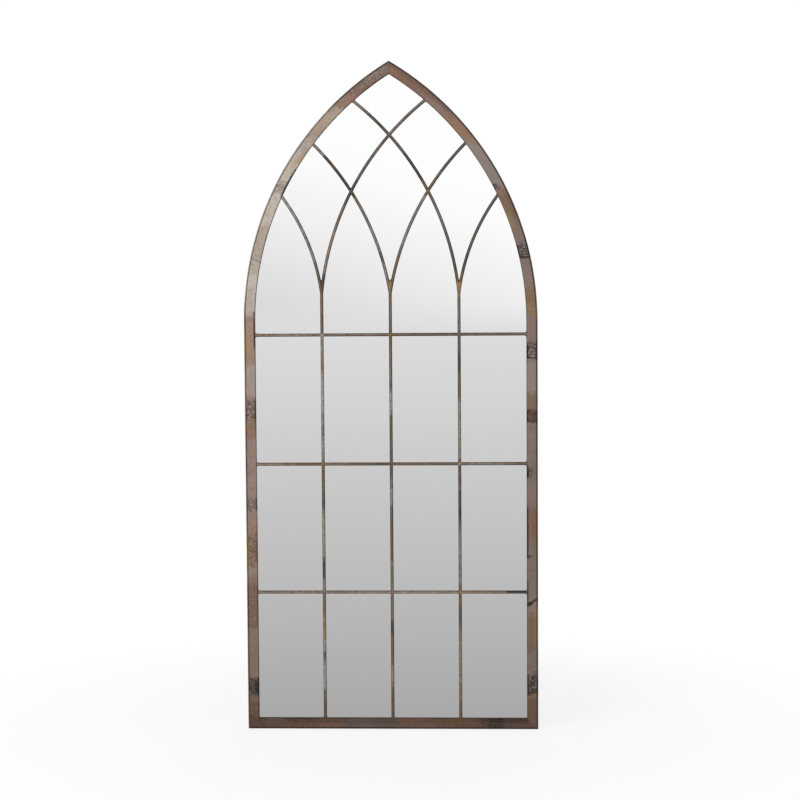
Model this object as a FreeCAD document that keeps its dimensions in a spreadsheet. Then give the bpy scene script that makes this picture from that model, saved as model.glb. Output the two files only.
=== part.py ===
import FreeCAD, Part
import math
import os
import Sketcher
from FreeCAD import Placement, Rotation, Vector

# Lancet window mirror: a frame of steel strip, with a flat face set inside a deeper side band,
# half-round glazing bars with intersecting tracery in the pointed head, and one arched sheet of
# mirror glass held in from behind.
# Millimetres. X to the right seen from the front, Y to the back with the wall at Y = 0,
# Z up from the bottom edge.

SIZES = {
    # outer frame
    "overall_width": 657,
    "overall_height": 1500,
    "spring_height": 922,
    "face_width": 25,
    "frame_depth": 25,
    "strip_thickness": 3,
    "heel_round": 1.2,
    "joint_round": 0.6,
    "toe_round": 1.5,
    # glazing bars; a tracery bar leans out of its fork by an angle from upright, in degrees, and
    # lands on the frame at a share of the arch's sweep
    "bar_width": 7,
    "bar_to_glass": 0.3,
    "lap_fit": 0.05,
    "transom_drop": 29,
    "fork_rise": 92,
    "outer_fork_angle": 7.32,
    "outer_landing_ratio": 0.441,
    "centre_fork_angle": 9.06,
    "centre_landing_ratio": 0.649,
    "long_fork_angle": 5.59,
    "long_landing_ratio": 0.849,
    # glass and what beds it
    "tape_thickness": 1,
    "tape_margin": 2,
    "glass_thickness": 4,
    "board_thickness": 3,
    "block_length": 60,
    # posts and screws
    "post_diameter": 8,
    "post_side_gap": 1.25,
    "post_clearance": 0.3,
    "post_floor": 1.8,
    "screw_diameter": 4,
    "screw_tip_gap": 0.5,
    "thread_clearance": 0.05,
    "running_clearance": 0.1,
    "head_overhang": 1.75,
    "head_side": 1,
    "head_round": 1.2,
    "slot_width": 1,
    "slot_depth": 1,
    # turn buttons
    "button_reach": 18,
    "button_thickness": 1.5,
    "button_side_gap": 0.75,
    "button_end_flat": 2,
    "axial_play": 0.2,
    # hangers
    "hanger_drop": 47,
    "plate_edge_gap": 0.75,
    "plate_thickness": 2,
    "plate_corner": 4,
    "plate_shoulder": 2.5,
    "plate_end": 9,
    "plate_screw_spacing": 26,
    "eye_length": 18,
    "eye_neck": 1.2,
    "ring_wire": 3,
    "ring_play": 0.3,
    "ring_end_gap": 1,
    "ring_to_screw": 7.25,
    "ring_side": 4,
    "ring_corner": 3.5,
}

MULLIONS = ["left_mullion", "centre_mullion", "right_mullion"]
TRANSOMS = ["lower_transom", "middle_transom", "upper_transom"]
PANE_COLUMNS = 4
PANE_ROWS = 3
SIDES = {"left": -1, "right": 1}
# Tracery bars to one side: the first forks from the mullion farthest from where it lands
TRACERY = ["long", "centre", "outer"]
# Where two bars cross, the first keeps its crown and the second is coped under it.
TRACERY_LAPS = [
    ("right_long_tracery", "left_long_tracery"),
    ("right_long_tracery", "left_centre_tracery"),
    ("left_long_tracery", "right_centre_tracery"),
]
# Turn buttons up a stile, which divide it into equal bays below the hanger
STILE_BUTTONS = {"low": 1, "high": 2}
STILE_BAYS = 3
# Turn buttons divide the sill into three bays, and the setting blocks stand at its quarter points
SILL_BAYS = 3
SILL_QUARTERS = 4

# How a rod's own axis lies, with the half of its round that a half-round keeps facing the front
FRONT = Vector(0, -1, 0)
TO_BACK = Rotation(Vector(1, 0, 0), -90)
ACROSS = Rotation(Vector(0, 0, 1), FRONT, Vector(1, 0, 0), "ZXY")
UPRIGHT = Rotation(Vector(0, 0, 1), 180)

doc = FreeCAD.newDocument("window_mirror")
sheet = doc.addObject("Spreadsheet::Sheet", "Sizes")
for row, (alias, number) in enumerate(SIZES.items(), start=1):
    sheet.set(f"A{row}", alias)
    sheet.set(f"B{row}", str(number))
    sheet.setAlias(f"B{row}", alias)
doc.recompute()

sub_parts = {}


class Size:
    """A length with its number and the sheet expression that gives it."""

    def __init__(self, number, text):
        self.number = float(number)
        self.text = text

    @staticmethod
    def of(other):
        return other if isinstance(other, Size) else Size(other, str(other))

    def __add__(self, other):
        other = Size.of(other)
        return Size(self.number + other.number, f"({self.text} + {other.text})")

    def __sub__(self, other):
        other = Size.of(other)
        return Size(self.number - other.number, f"({self.text} - {other.text})")

    def __mul__(self, other):
        other = Size.of(other)
        return Size(self.number * other.number, f"({self.text} * {other.text})")

    def __truediv__(self, other):
        other = Size.of(other)
        return Size(self.number / other.number, f"({self.text} / {other.text})")

    def __neg__(self):
        return Size(-self.number, f"(-1 * {self.text})")

    def cos(self):
        return Size(math.cos(math.radians(self.number)), f"cos({self.text})")

    def sin(self):
        return Size(math.sin(math.radians(self.number)), f"sin({self.text})")

    def acos(self):
        return Size(math.degrees(math.acos(self.number)), f"acos({self.text})")


def size(alias):
    """The driving size that the sheet keeps under this alias."""
    return Size(sheet.get(alias), f"Sizes.{alias}")


ZERO = Size(0, "0")
FULL_TURN = Size(360, "360")
DEGREE = Size(1, "1 deg")
# How far an arch side is rolled past the apex before it is mitred there
APEX_OVERRUN = DEGREE * 2
# Lengths nearer to each other than this are the same one
SAME_LENGTH = 1e-6

overall_width = size("overall_width")
overall_height = size("overall_height")
spring_height = size("spring_height")
face_width = size("face_width")
frame_depth = size("frame_depth")
strip_thickness = size("strip_thickness")
bar_width = size("bar_width")
glass_thickness = size("glass_thickness")
board_thickness = size("board_thickness")
post_diameter = size("post_diameter")
screw_diameter = size("screw_diameter")
button_thickness = size("button_thickness")
axial_play = size("axial_play")
plate_thickness = size("plate_thickness")
plate_corner = size("plate_corner")
plate_screw_spacing = size("plate_screw_spacing")
eye_length = size("eye_length")
ring_wire = size("ring_wire")
ring_corner = size("ring_corner")

# Each arch side is one arc, upright where it leaves the stile, that meets its twin at the apex.
half_width = overall_width / 2
rise = overall_height - spring_height
arch_radius = (rise * rise + half_width * half_width) / overall_width
arch_centre = arch_radius - half_width
arch_sweep = (arch_centre / arch_radius).acos()

# The sight line is the inner edge of the frame's face
sight_width = overall_width - face_width * 2
sight_radius = arch_radius - face_width
sight_sweep = (arch_centre / sight_radius).acos()

bar_radius = bar_width / 2
mullion_pitch = (sight_width - bar_width * (PANE_COLUMNS - 1)) / PANE_COLUMNS + bar_width
top_transom_height = spring_height - size("transom_drop")
pane_height = (top_transom_height + bar_radius - face_width) / PANE_ROWS
fork_height = top_transom_height + size("fork_rise")

# Depths, front to back
face_back = strip_thickness - frame_depth
glass_front = face_back + size("tape_thickness")
glass_back = glass_front + glass_thickness
board_back = glass_back + board_thickness
bar_back = glass_front - size("bar_to_glass")
lap_depth = bar_back - bar_radius / 2
post_end = board_back + size("post_clearance")
post_height = post_end - face_back

# The posts stand in a channel between the frame's side band and the edge of the glass
edge_channel = post_diameter + size("post_side_gap") * 2
glass_inset = strip_thickness + edge_channel
post_inset = strip_thickness + edge_channel / 2
post_line = half_width - post_inset
glass_half_width = half_width - glass_inset

bore_depth = post_height - size("post_floor")
screw_grip = bore_depth - size("screw_tip_gap")
running_radius = screw_diameter / 2 + size("running_clearance")
head_radius = screw_diameter / 2 + size("head_overhang")
head_height = size("head_side") + size("head_round")

# A hanger ring turns in an eye rolled from the top of its plate
hanger_height = spring_height - size("hanger_drop")
eye_bore = ring_wire / 2 + size("ring_play")
eye_radius = eye_bore + plate_thickness
ring_leg = eye_length / 2 + size("ring_end_gap")
ring_reach = ring_leg + ring_corner
ring_offset = head_radius + size("ring_to_screw") + ring_reach + ring_wire / 2
ring_line = post_line - ring_offset
plate_back = post_end + plate_thickness
plate_height = plate_screw_spacing + size("plate_end") * 2
plate_top = hanger_height - eye_radius - size("eye_neck")
plate_bottom = plate_top - plate_height


def bind(thing, **sizes):
    """Set each named property and tie it to the sheet."""
    for name, value in sizes.items():
        setattr(thing, name, value.number)
        thing.setExpression(name, value.text)
    return thing


def place(thing, x=ZERO, y=ZERO, z=ZERO, rotation=Rotation()):
    """Put a thing at a point given by sizes, turned by a rotation."""
    thing.Placement = Placement(Vector(x.number, y.number, z.number), rotation)
    for axis, value in (("x", x), ("y", y), ("z", z)):
        thing.setExpression(f"Placement.Base.{axis}", value.text)
    return thing


def keep(label, thing):
    """Name a finished sub-part."""
    thing.Label = label
    sub_parts[label] = thing
    return thing


def facing(angle):
    """Turn a ring to face the front and start at an angle, counted counter-clockwise from +X."""
    start = Vector(math.cos(math.radians(angle)), 0, math.sin(math.radians(angle)))
    return Rotation(start, FRONT.cross(start), FRONT, "ZXY")


def box(name, length, width, height, x, y, z):
    """A block with its low corner at x, y, z."""
    block = bind(doc.addObject("Part::Box", name), Length=length, Width=width, Height=height)
    return place(block, x, y, z)


def cylinder(name, radius, height, x, y, z, rotation, turn=360):
    """A rod, or a half-round one with turn 180, that starts at x, y, z."""
    rod = bind(doc.addObject("Part::Cylinder", name), Radius=radius, Height=height)
    rod.Angle = turn
    return place(rod, x, y, z, rotation)


def boolean(kind, name, base, tool):
    """A Part::Cut or Part::Common of two things."""
    result = doc.addObject(f"Part::{kind}", name)
    result.Base = base
    result.Tool = tool
    return result


def group(name, things):
    """Separate solids kept together."""
    gathered = doc.addObject("Part::Compound", name)
    gathered.Links = things
    return gathered


def mirrored(label, source):
    """The opposite hand of a piece, across the centre plane."""
    twin = doc.addObject("Part::Mirroring", label)
    twin.Source = source
    twin.Normal = Vector(1, 0, 0)
    return keep(label, twin)


def new_body(label):
    body = doc.addObject("PartDesign::Body", label)
    body.Label = label
    return body


def new_sketch(body, name, plane_role):
    """A sketch on one of the body's own origin planes."""
    sketch = body.newObject("Sketcher::SketchObject", f"{body.Name}_{name}")
    plane = next(item for item in body.Origin.OriginFeatures if item.Role == plane_role)
    sketch.AttachmentSupport = [(plane, "")]
    sketch.MapMode = "FlatFace"
    return sketch


def constrain(sketch, kind, *where, value=None):
    """Add a constraint, tied to the sheet where it has a value."""
    if value is None:
        sketch.addConstraint(Sketcher.Constraint(kind, *where))
    else:
        index = sketch.addConstraint(Sketcher.Constraint(kind, *where, value.number))
        sketch.setExpression(f"Constraints[{index}]", value.text)


def pin_point(sketch, edge, end, x=None, y=None):
    """Hold a point at its distances from the sketch's origin; one that is zero lies on the axis."""
    for kind, axis, value in (("DistanceX", -2, x), ("DistanceY", -1, y)):
        if value is ZERO:
            constrain(sketch, "PointOnObject", edge, end, axis)
        elif value is not None:
            constrain(sketch, kind, -1, 1, edge, end, value=value)


def polygon(sketch, corners):
    """A closed outline of straight lines through corners (x, y)."""
    points = [Vector(x.number, y.number, 0) for x, y in corners]
    ends = points[1:] + points[:1]
    lines = [sketch.addGeometry(Part.LineSegment(*pair)) for pair in zip(points, ends)]
    for index, (x, y) in enumerate(corners):
        constrain(sketch, "Coincident", lines[index - 1], 2, lines[index], 1)
        pin_point(sketch, lines[index], 1, x, y)


def stepped_outline(sketch, corners):
    """A closed outline of level and upright lines through corners (x, y, radius), counter-clockwise."""
    points = [Vector(x.number, y.number, 0) for x, y, _ in corners]
    radii = [radius.number if radius else 0.0 for _, _, radius in corners]
    count = len(points)
    along = [(points[(i + 1) % count] - points[i]).normalize() for i in range(count)]
    lines = []
    for i in range(count):
        after = (i + 1) % count
        start = points[i] + along[i] * radii[i]
        end = points[after] - along[i] * radii[after]
        lines.append(sketch.addGeometry(Part.LineSegment(start, end)))
    for i, (x, y, radius) in enumerate(corners):
        level = abs(along[i].y) < abs(along[i].x)
        constrain(sketch, "Horizontal" if level else "Vertical", lines[i])
        if level:
            pin_point(sketch, lines[i], 1, y=y)
        else:
            pin_point(sketch, lines[i], 1, x=x)
        if radius is None:
            constrain(sketch, "Coincident", lines[i - 1], 2, lines[i], 1)
            continue
        start = points[i] - along[i - 1] * radii[i]
        end = points[i] + along[i] * radii[i]
        hub = start + along[i] * radii[i]
        middle = hub + (points[i] - hub).normalize() * radii[i]
        corner = sketch.addGeometry(Part.Arc(start, middle, end))
        constrain(sketch, "Tangent", lines[i - 1], 2, corner, 1)
        constrain(sketch, "Tangent", corner, 2, lines[i], 1)
        constrain(sketch, "Radius", corner, value=radius)


def round_hole(sketch, x, y, radius):
    """A circle at x, y."""
    circle = Part.Circle(Vector(x.number, y.number, 0), Vector(0, 0, 1), radius.number)
    edge = sketch.addGeometry(circle)
    pin_point(sketch, edge, 3, x, y)
    constrain(sketch, "Radius", edge, value=radius)


def lancet(sketch, inset):
    """The frame's pointed outline, drawn in by an inset on every side."""
    half = half_width - inset
    radius = arch_radius - inset
    top = math.acos(arch_centre.number / radius.number)
    low_left = Vector(-half.number, inset.number, 0)
    low_right = Vector(half.number, inset.number, 0)
    spring_left = Vector(-half.number, spring_height.number, 0)
    spring_right = Vector(half.number, spring_height.number, 0)
    right_hub = Vector(-arch_centre.number, spring_height.number, 0)
    left_hub = Vector(arch_centre.number, spring_height.number, 0)
    normal = Vector(0, 0, 1)
    right_circle = Part.Circle(right_hub, normal, radius.number)
    left_circle = Part.Circle(left_hub, normal, radius.number)
    sill = sketch.addGeometry(Part.LineSegment(low_left, low_right))
    right_side = sketch.addGeometry(Part.LineSegment(low_right, spring_right))
    right_arc = sketch.addGeometry(Part.ArcOfCircle(right_circle, 0, top))
    left_arc = sketch.addGeometry(Part.ArcOfCircle(left_circle, math.pi - top, math.pi))
    left_side = sketch.addGeometry(Part.LineSegment(spring_left, low_left))
    constrain(sketch, "Coincident", sill, 2, right_side, 1)
    constrain(sketch, "Tangent", right_side, 2, right_arc, 1)
    constrain(sketch, "Coincident", right_arc, 2, left_arc, 1)
    constrain(sketch, "Tangent", left_arc, 2, left_side, 1)
    constrain(sketch, "Coincident", left_side, 2, sill, 1)
    constrain(sketch, "Horizontal", sill)
    constrain(sketch, "Vertical", right_side)
    constrain(sketch, "Vertical", left_side)
    constrain(sketch, "PointOnObject", right_arc, 2, -2)
    constrain(sketch, "Equal", right_arc, left_arc)
    pin_point(sketch, right_side, 1, half, inset)
    pin_point(sketch, left_side, 2, x=-half)
    pin_point(sketch, right_side, 2, y=spring_height)
    constrain(sketch, "Radius", right_arc, value=radius)


def pad(body, sketch, length, symmetric=False):
    """Extrude a sketch along its normal, or to both sides of its plane."""
    feature = body.newObject("PartDesign::Pad", f"{sketch.Name}_pad")
    feature.Profile = sketch
    feature.SideType = "Symmetric" if symmetric else "One side"
    return bind(feature, Length=length)


def cut_through(body, sketch):
    """Cut a sketch right through the body, to both sides of its plane."""
    feature = body.newObject("PartDesign::Pocket", f"{sketch.Name}_cut")
    feature.Profile = sketch
    feature.SideType = "Symmetric"
    feature.Type = "ThroughAll"
    return feature


def spin(body, sketch, angle):
    """Revolve a sketch about its own upright axis."""
    feature = body.newObject("PartDesign::Revolution", f"{sketch.Name}_spin")
    feature.Profile = sketch
    feature.ReferenceAxis = (sketch, ["V_Axis"])
    return bind(feature, Angle=angle)


# Outer frame

def make_stiles():
    """Straight sides, mitred at the bottom: a face to the front and a band back to the wall."""
    outer = -half_width
    joint = outer + strip_thickness
    inner = outer + face_width
    sections = {
        "stile": [
            (joint, -frame_depth, size("joint_round")),
            (inner, -frame_depth, size("toe_round")),
            (inner, face_back, None),
            (joint, face_back, None),
        ],
        "stile_band": [
            (outer, -frame_depth, size("heel_round")),
            (joint, -frame_depth, size("joint_round")),
            (joint, ZERO, None),
            (outer, ZERO, None),
        ],
    }
    for label, corners in sections.items():
        body = new_body(f"left_{label}")
        section = new_sketch(body, "section", "XY_Plane")
        stepped_outline(section, corners)
        pad(body, section, spring_height)
        mitre = new_sketch(body, "mitre", "XZ_Plane")
        polygon(mitre, [(outer, ZERO), (inner, ZERO), (inner, face_width)])
        cut_through(body, mitre)
        keep(f"left_{label}", body)
        mirrored(f"right_{label}", body)


def front_arc(shape, radius):
    """The name of the edge in the frame's front plane that is bent to a radius."""
    for index, edge in enumerate(shape.Edges, start=1):
        in_front = abs(edge.BoundBox.YMax + frame_depth.number) < SAME_LENGTH
        if in_front and isinstance(edge.Curve, Part.Circle):
            if abs(edge.Curve.Radius - radius) < SAME_LENGTH:
                return f"Edge{index}"


def rolled(label, side, corners, rounds):
    """A strip rolled about the arch centre, mitred at the apex and rounded along the front."""
    body = place(new_body(label), arch_centre * -side, ZERO, spring_height)
    section = new_sketch(body, "section", "XY_Plane")
    polygon(section, [(x * side, y) for x, y in corners[::side]])
    spin(body, section, arch_sweep + APEX_OVERRUN).Reversed = side > 0
    mitre = new_sketch(body, "mitre", "XZ_Plane")
    far_side = arch_centre - face_width * 2
    above = arch_radius + face_width
    mitre_corners = [(arch_centre, ZERO), (arch_centre, above), (far_side, above), (far_side, ZERO)]
    polygon(mitre, [(x * side, z) for x, z in mitre_corners])
    feature = cut_through(body, mitre)
    for name, bend in rounds.items():
        doc.recompute()
        rounded = body.newObject("PartDesign::Fillet", f"{body.Name}_{name}")
        rounded.Base = (feature, [front_arc(feature.Shape, bend.number)])
        feature = bind(rounded, Radius=size(f"{name}_round"))
    keep(label, body)


def make_arch_rails():
    """Curved sides of the same face and band as the stiles."""
    outer = arch_radius
    joint = arch_radius - strip_thickness
    inner = arch_radius - face_width
    face = [(joint, -frame_depth), (joint, face_back), (inner, face_back), (inner, -frame_depth)]
    band = [(outer, -frame_depth), (outer, ZERO), (joint, ZERO), (joint, -frame_depth)]
    for name, side in SIDES.items():
        rolled(f"{name}_arch_rail", side, face, {"joint": joint, "toe": inner})
        rolled(f"{name}_arch_band", side, band, {"heel": outer, "joint": joint})


def make_bottom_rail():
    """Sill of the same face and band, mitred at both ends."""
    inner = half_width - face_width
    sections = {
        "bottom_rail": [
            (-frame_depth, strip_thickness, size("joint_round")),
            (face_back, strip_thickness, None),
            (face_back, face_width, None),
            (-frame_depth, face_width, size("toe_round")),
        ],
        "bottom_band": [
            (-frame_depth, ZERO, size("heel_round")),
            (ZERO, ZERO, None),
            (ZERO, strip_thickness, None),
            (-frame_depth, strip_thickness, size("joint_round")),
        ],
    }
    for label, corners in sections.items():
        body = new_body(label)
        section = new_sketch(body, "section", "YZ_Plane")
        stepped_outline(section, corners)
        pad(body, section, overall_width, symmetric=True)
        mitre = new_sketch(body, "mitre", "XZ_Plane")
        polygon(mitre, [(-half_width, ZERO), (-inner, face_width), (-half_width, face_width)])
        polygon(mitre, [(half_width, ZERO), (half_width, face_width), (inner, face_width)])
        cut_through(body, mitre)
        keep(label, body)


# Half-round glazing bars, halved together where they cross

def straight_bar(name, length, x, z, rotation):
    """A half-round bar with its flat towards the glass, and the rod that clears it in a lap."""
    bar = cylinder(f"{name}_stock", bar_radius, length, x, bar_back, z, rotation, 180)
    clear = cylinder(f"{name}_clear", bar_radius + size("lap_fit"), length, x, bar_back, z, rotation)
    return bar, clear


def curved_bar(name, kind, step, side):
    """A half-round bar that leans out of its fork and bends to one radius until it meets the arch."""
    lean = size(f"{kind}_fork_angle") * DEGREE
    landing = sight_sweep * size(f"{kind}_landing_ratio")
    foot = mullion_pitch * step
    reach = sight_radius * landing.cos() - arch_centre - foot
    climb = spring_height + sight_radius * landing.sin() - fork_height
    bend = (reach * reach + climb * climb) / (reach * lean.cos() - climb * lean.sin()) / 2
    hub_x = (foot + bend * lean.cos()) * side
    hub_z = fork_height - bend * lean.sin()
    sweep = 2 * (math.degrees(math.atan2(reach.number, climb.number)) - lean.number)
    overrun = math.degrees(2 * face_width.number / bend.number)
    start = lean.number if side < 0 else 180 - lean.number - sweep
    bars = []
    for suffix, radius, low, high in (
        ("stock", bar_radius, -180, 0),
        ("clear", bar_radius + size("lap_fit"), -180, 180),
    ):
        bar = bind(doc.addObject("Part::Torus", f"{name}_{suffix}"), Radius1=bend, Radius2=radius)
        bar.Angle1 = low
        bar.Angle2 = high
        bar.Angle3 = sweep + 2 * overrun
        bars.append(place(bar, hub_x, bar_back, hub_z, facing(start - overrun)))
    return bars


def sight_opening():
    """The space inside the frame's face, which every bar stops at."""
    body = new_body("sight_opening")
    outline = new_sketch(body, "outline", "XZ_Plane")
    lancet(outline, face_width)
    pad(body, outline, frame_depth * 2)
    return body


def above_fork(name, side, x):
    """The half of the head, from a fork's centre line to one side, that a tracery bar keeps to."""
    low_x = x if side > 0 else x - overall_width
    depth = frame_depth * 2
    return box(name, overall_width, depth, overall_height, low_x, -depth, fork_height)


def lap_slab(name, y, width):
    """Everything in front of, or behind, the depth where crossing bars are halved."""
    return box(name, overall_width, width, overall_height, -half_width, y, ZERO)


def make_bars():
    """Mullions, transoms and tracery, trimmed to the frame and lapped."""
    opening = sight_opening()
    front_slab = lap_slab("front_of_lap", lap_depth - frame_depth, frame_depth)
    back_slab = lap_slab("back_of_lap", lap_depth, frame_depth)
    stock = {}
    clear = {}
    for step, name in enumerate(MULLIONS, start=-1):
        length = fork_height - face_width
        stock[name], clear[name] = straight_bar(name, length, mullion_pitch * step, face_width, UPRIGHT)
    for step, name in enumerate(TRANSOMS, start=1):
        height = face_width + pane_height * step - bar_radius
        stock[name], clear[name] = straight_bar(name, sight_width, -sight_width / 2, height, ACROSS)
    for side_name, side in SIDES.items():
        for step, kind in enumerate(TRACERY, start=-1):
            name = f"{side_name}_{kind}_tracery"
            bent, clear[name] = curved_bar(name, kind, step, side)
            half = above_fork(f"{name}_half", side, mullion_pitch * (side * step))
            landed = boolean("Common", f"{name}_landed", bent, opening)
            stock[name] = boolean("Common", f"{name}_forked", landed, half)

    laps = TRACERY_LAPS + [(over, under) for over in TRANSOMS for under in MULLIONS]
    notches = {name: [] for name in stock}
    for over, under in laps:
        under_back = boolean("Common", f"{over}_{under}_notch", clear[under], back_slab)
        over_front = boolean("Common", f"{under}_{over}_cope", clear[over], front_slab)
        notches[over].append(under_back)
        notches[under].append(over_front)
    for name, bar in stock.items():
        if notches[name]:
            bar = boolean("Cut", name, bar, group(f"{name}_notches", notches[name]))
        keep(name, bar)


# Glass, tape, backing board and the blocks under them

def lancet_sheet(label, inset, thickness, back):
    """A flat sheet of the frame's outline drawn in by an inset."""
    body = place(new_body(label), y=back)
    outline = new_sketch(body, "outline", "XZ_Plane")
    lancet(outline, inset)
    pad(body, outline, thickness)
    return keep(label, body)


def make_glazing():
    """One mirror over the whole opening, bedded on tape, backed by a board, standing on two blocks."""
    lancet_sheet("mirror_glass", glass_inset, glass_thickness, glass_back)
    lancet_sheet("backing_board", glass_inset, board_thickness, board_back)
    tape = lancet_sheet("glazing_tape", glass_inset, size("tape_thickness"), glass_front)
    inner_edge = new_sketch(tape, "inner_edge", "XZ_Plane")
    lancet(inner_edge, face_width - size("tape_margin"))
    cut_through(tape, inner_edge)
    block_length = size("block_length")
    block_depth = glass_thickness + board_thickness
    blocks = []
    for name, side in SIDES.items():
        start = glass_half_width * 2 / SILL_QUARTERS * side - block_length / 2
        corner = (start, glass_front, strip_thickness)
        blocks.append(box(f"{name}_block", block_length, block_depth, edge_channel, *corner))
    keep("setting_blocks", group("setting_blocks", blocks))


# Fixings

def post(name, x, z):
    """A tapped round post welded behind the face, just tall enough to clear the backing board."""
    barrel = cylinder(f"{name}_barrel", post_diameter / 2, post_height, x, face_back, z, TO_BACK)
    bore_radius = screw_diameter / 2 + size("thread_clearance")
    bore = cylinder(f"{name}_bore", bore_radius, post_height, x, post_end - bore_depth, z, TO_BACK)
    return boolean("Cut", name, barrel, bore)


def screw(name, x, z, seat, shank):
    """A slotted pan-head screw that seats its head at a depth."""
    body = place(new_body(name), x, seat, z)
    profile = new_sketch(body, "profile", "XY_Plane")
    stepped_outline(profile, [
        (ZERO, -shank, None),
        (screw_diameter / 2, -shank, None),
        (screw_diameter / 2, ZERO, None),
        (head_radius, ZERO, None),
        (head_radius, head_height, size("head_round")),
        (ZERO, head_height, None),
    ])
    spin(body, profile, FULL_TURN)
    slot = new_sketch(body, "slot", "XY_Plane")
    half_slot = size("slot_width") / 2
    slot_floor = head_height - size("slot_depth")
    above_head = head_height * 2
    stepped_outline(slot, [
        (-half_slot, slot_floor, None),
        (half_slot, slot_floor, None),
        (half_slot, above_head, None),
        (-half_slot, above_head, None),
    ])
    cut_through(body, slot)
    return body


def turn_button(label, x, z, angle):
    """A flat swivelling tongue over the edge of the backing board."""
    back = post_end + axial_play + button_thickness
    body = place(new_body(label), x, back, z, Rotation(Vector(0, 1, 0), angle))
    outline = new_sketch(body, "outline", "XZ_Plane")
    half = edge_channel / 2 - size("button_side_gap")
    corner = half - size("button_end_flat") / 2
    reach = size("button_reach")
    stepped_outline(outline, [
        (-half, -half, corner),
        (half, -half, corner),
        (half, reach, corner),
        (-half, reach, corner),
    ])
    round_hole(outline, ZERO, ZERO, running_radius)
    pad(body, outline, button_thickness)
    keep(label, body)


def button_stations():
    """Where each turn button pivots, and the turn that points its tongue inwards."""
    arch_angle = arch_sweep / 2
    arch_line = arch_radius - post_inset
    stations = {}
    for name, side in SIDES.items():
        for level, bay in STILE_BUTTONS.items():
            height = plate_bottom * bay / STILE_BAYS
            stations[f"{name}_{level}"] = (post_line * side, height, -90 * side)
        arch_x = (arch_line * arch_angle.cos() - arch_centre) * side
        arch_z = spring_height + arch_line * arch_angle.sin()
        stations[f"{name}_arch"] = (arch_x, arch_z, -(90 + arch_angle.number) * side)
        stations[f"bottom_{name}"] = (glass_half_width / SILL_BAYS * side, post_inset, 0)
    return stations


def make_turn_buttons():
    """Turn buttons round the edge, each on its own post and screw."""
    posts = []
    screws = []
    stack = button_thickness + axial_play * 2
    for name, (x, z, angle) in button_stations().items():
        turn_button(f"turn_button_{name}", x, z, angle)
        posts.append(post(f"clip_post_{name}", x, z))
        screws.append(screw(f"clip_screw_{name}", x, z, post_end + stack, stack + screw_grip))
    keep("clip_posts", group("clip_posts", posts))
    keep("clip_screws", group("clip_screws", screws))


def hanger_plate():
    """A strap for the left stile, with an eye rolled at its top; its origin is on the eye's middle."""
    body = place(new_body("left_hanger_plate"), -ring_line, plate_back, hanger_height)
    strap = new_sketch(body, "strap", "XZ_Plane")
    half_eye = eye_length / 2
    outer = ring_line + strip_thickness + size("plate_edge_gap") - half_width
    inner = half_eye + plate_corner + size("plate_shoulder")
    top = plate_top - hanger_height
    bottom = plate_bottom - hanger_height
    stepped_outline(strap, [
        (outer, bottom, plate_corner),
        (inner, bottom, plate_corner),
        (inner, top, plate_corner),
        (half_eye, top, None),
        (half_eye, ZERO, None),
        (-half_eye, ZERO, None),
        (-half_eye, top, None),
        (outer, top, plate_corner),
    ])
    for height in screw_heights():
        round_hole(strap, -ring_offset, height - hanger_height, running_radius)
    pad(body, strap, plate_thickness)
    eye = new_sketch(body, "eye", "YZ_Plane")
    round_hole(eye, eye_bore, ZERO, eye_radius)
    pad(body, eye, eye_length, symmetric=True)
    bore = new_sketch(body, "bore", "YZ_Plane")
    round_hole(bore, eye_bore, ZERO, eye_bore)
    cut_through(body, bore)
    return keep("left_hanger_plate", body)


def screw_heights():
    """The two screws of a hanger plate, low and high."""
    low = plate_bottom + size("plate_end")
    return low, low + plate_screw_spacing


def hanger_ring(label, x):
    """A D-shaped wire ring, hanging from its straight leg in the eye."""
    wire = ring_wire / 2
    side = size("ring_side")
    depth = plate_back + eye_bore
    corner_height = hanger_height - ring_corner
    bow_height = corner_height - side
    bends = [
        ("right_corner", ring_corner, x + ring_leg, corner_height, 0, 90),
        ("left_corner", ring_corner, x - ring_leg, corner_height, 90, 90),
        ("bow", ring_reach, x, bow_height, 180, 180),
    ]
    pieces = [
        cylinder(f"{label}_leg", wire, ring_leg * 2, x - ring_leg, depth, hanger_height, ACROSS),
        cylinder(f"{label}_right", wire, side, x + ring_reach, depth, bow_height, UPRIGHT),
        cylinder(f"{label}_left", wire, side, x - ring_reach, depth, bow_height, UPRIGHT),
    ]
    for name, radius, bend_x, bend_z, start, turn in bends:
        bend = bind(doc.addObject("Part::Torus", f"{label}_{name}"), Radius1=radius, Radius2=wire)
        bend.Angle3 = turn
        pieces.append(place(bend, bend_x, depth, bend_z, facing(start)))
    ring = doc.addObject("Part::MultiFuse", label)
    ring.Shapes = pieces
    keep(label, ring)


def make_hangers():
    """A plate and ring on each stile, each plate screwed to two posts."""
    mirrored("right_hanger_plate", hanger_plate())
    posts = []
    screws = []
    shank = plate_thickness + screw_grip
    for name, side in SIDES.items():
        hanger_ring(f"{name}_hanger_ring", ring_line * side)
        x = post_line * side
        for level, height in zip(("low", "high"), screw_heights()):
            posts.append(post(f"hanger_post_{name}_{level}", x, height))
            screws.append(screw(f"hanger_screw_{name}_{level}", x, height, plate_back, shank))
    keep("hanger_posts", group("hanger_posts", posts))
    keep("hanger_screws", group("hanger_screws", screws))


def make_all():
    make_stiles()
    make_arch_rails()
    make_bottom_rail()
    make_bars()
    make_glazing()
    make_turn_buttons()
    make_hangers()


make_all()
doc.recompute()
failed = [thing.Label for thing in doc.Objects if {"Invalid", "Error"} & set(thing.State)]
for label, thing in sub_parts.items():
    if thing.Shape.isNull() or not thing.Shape.isValid():
        failed.append(label)
if failed:
    raise RuntimeError(f"these did not build: {failed}")

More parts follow.
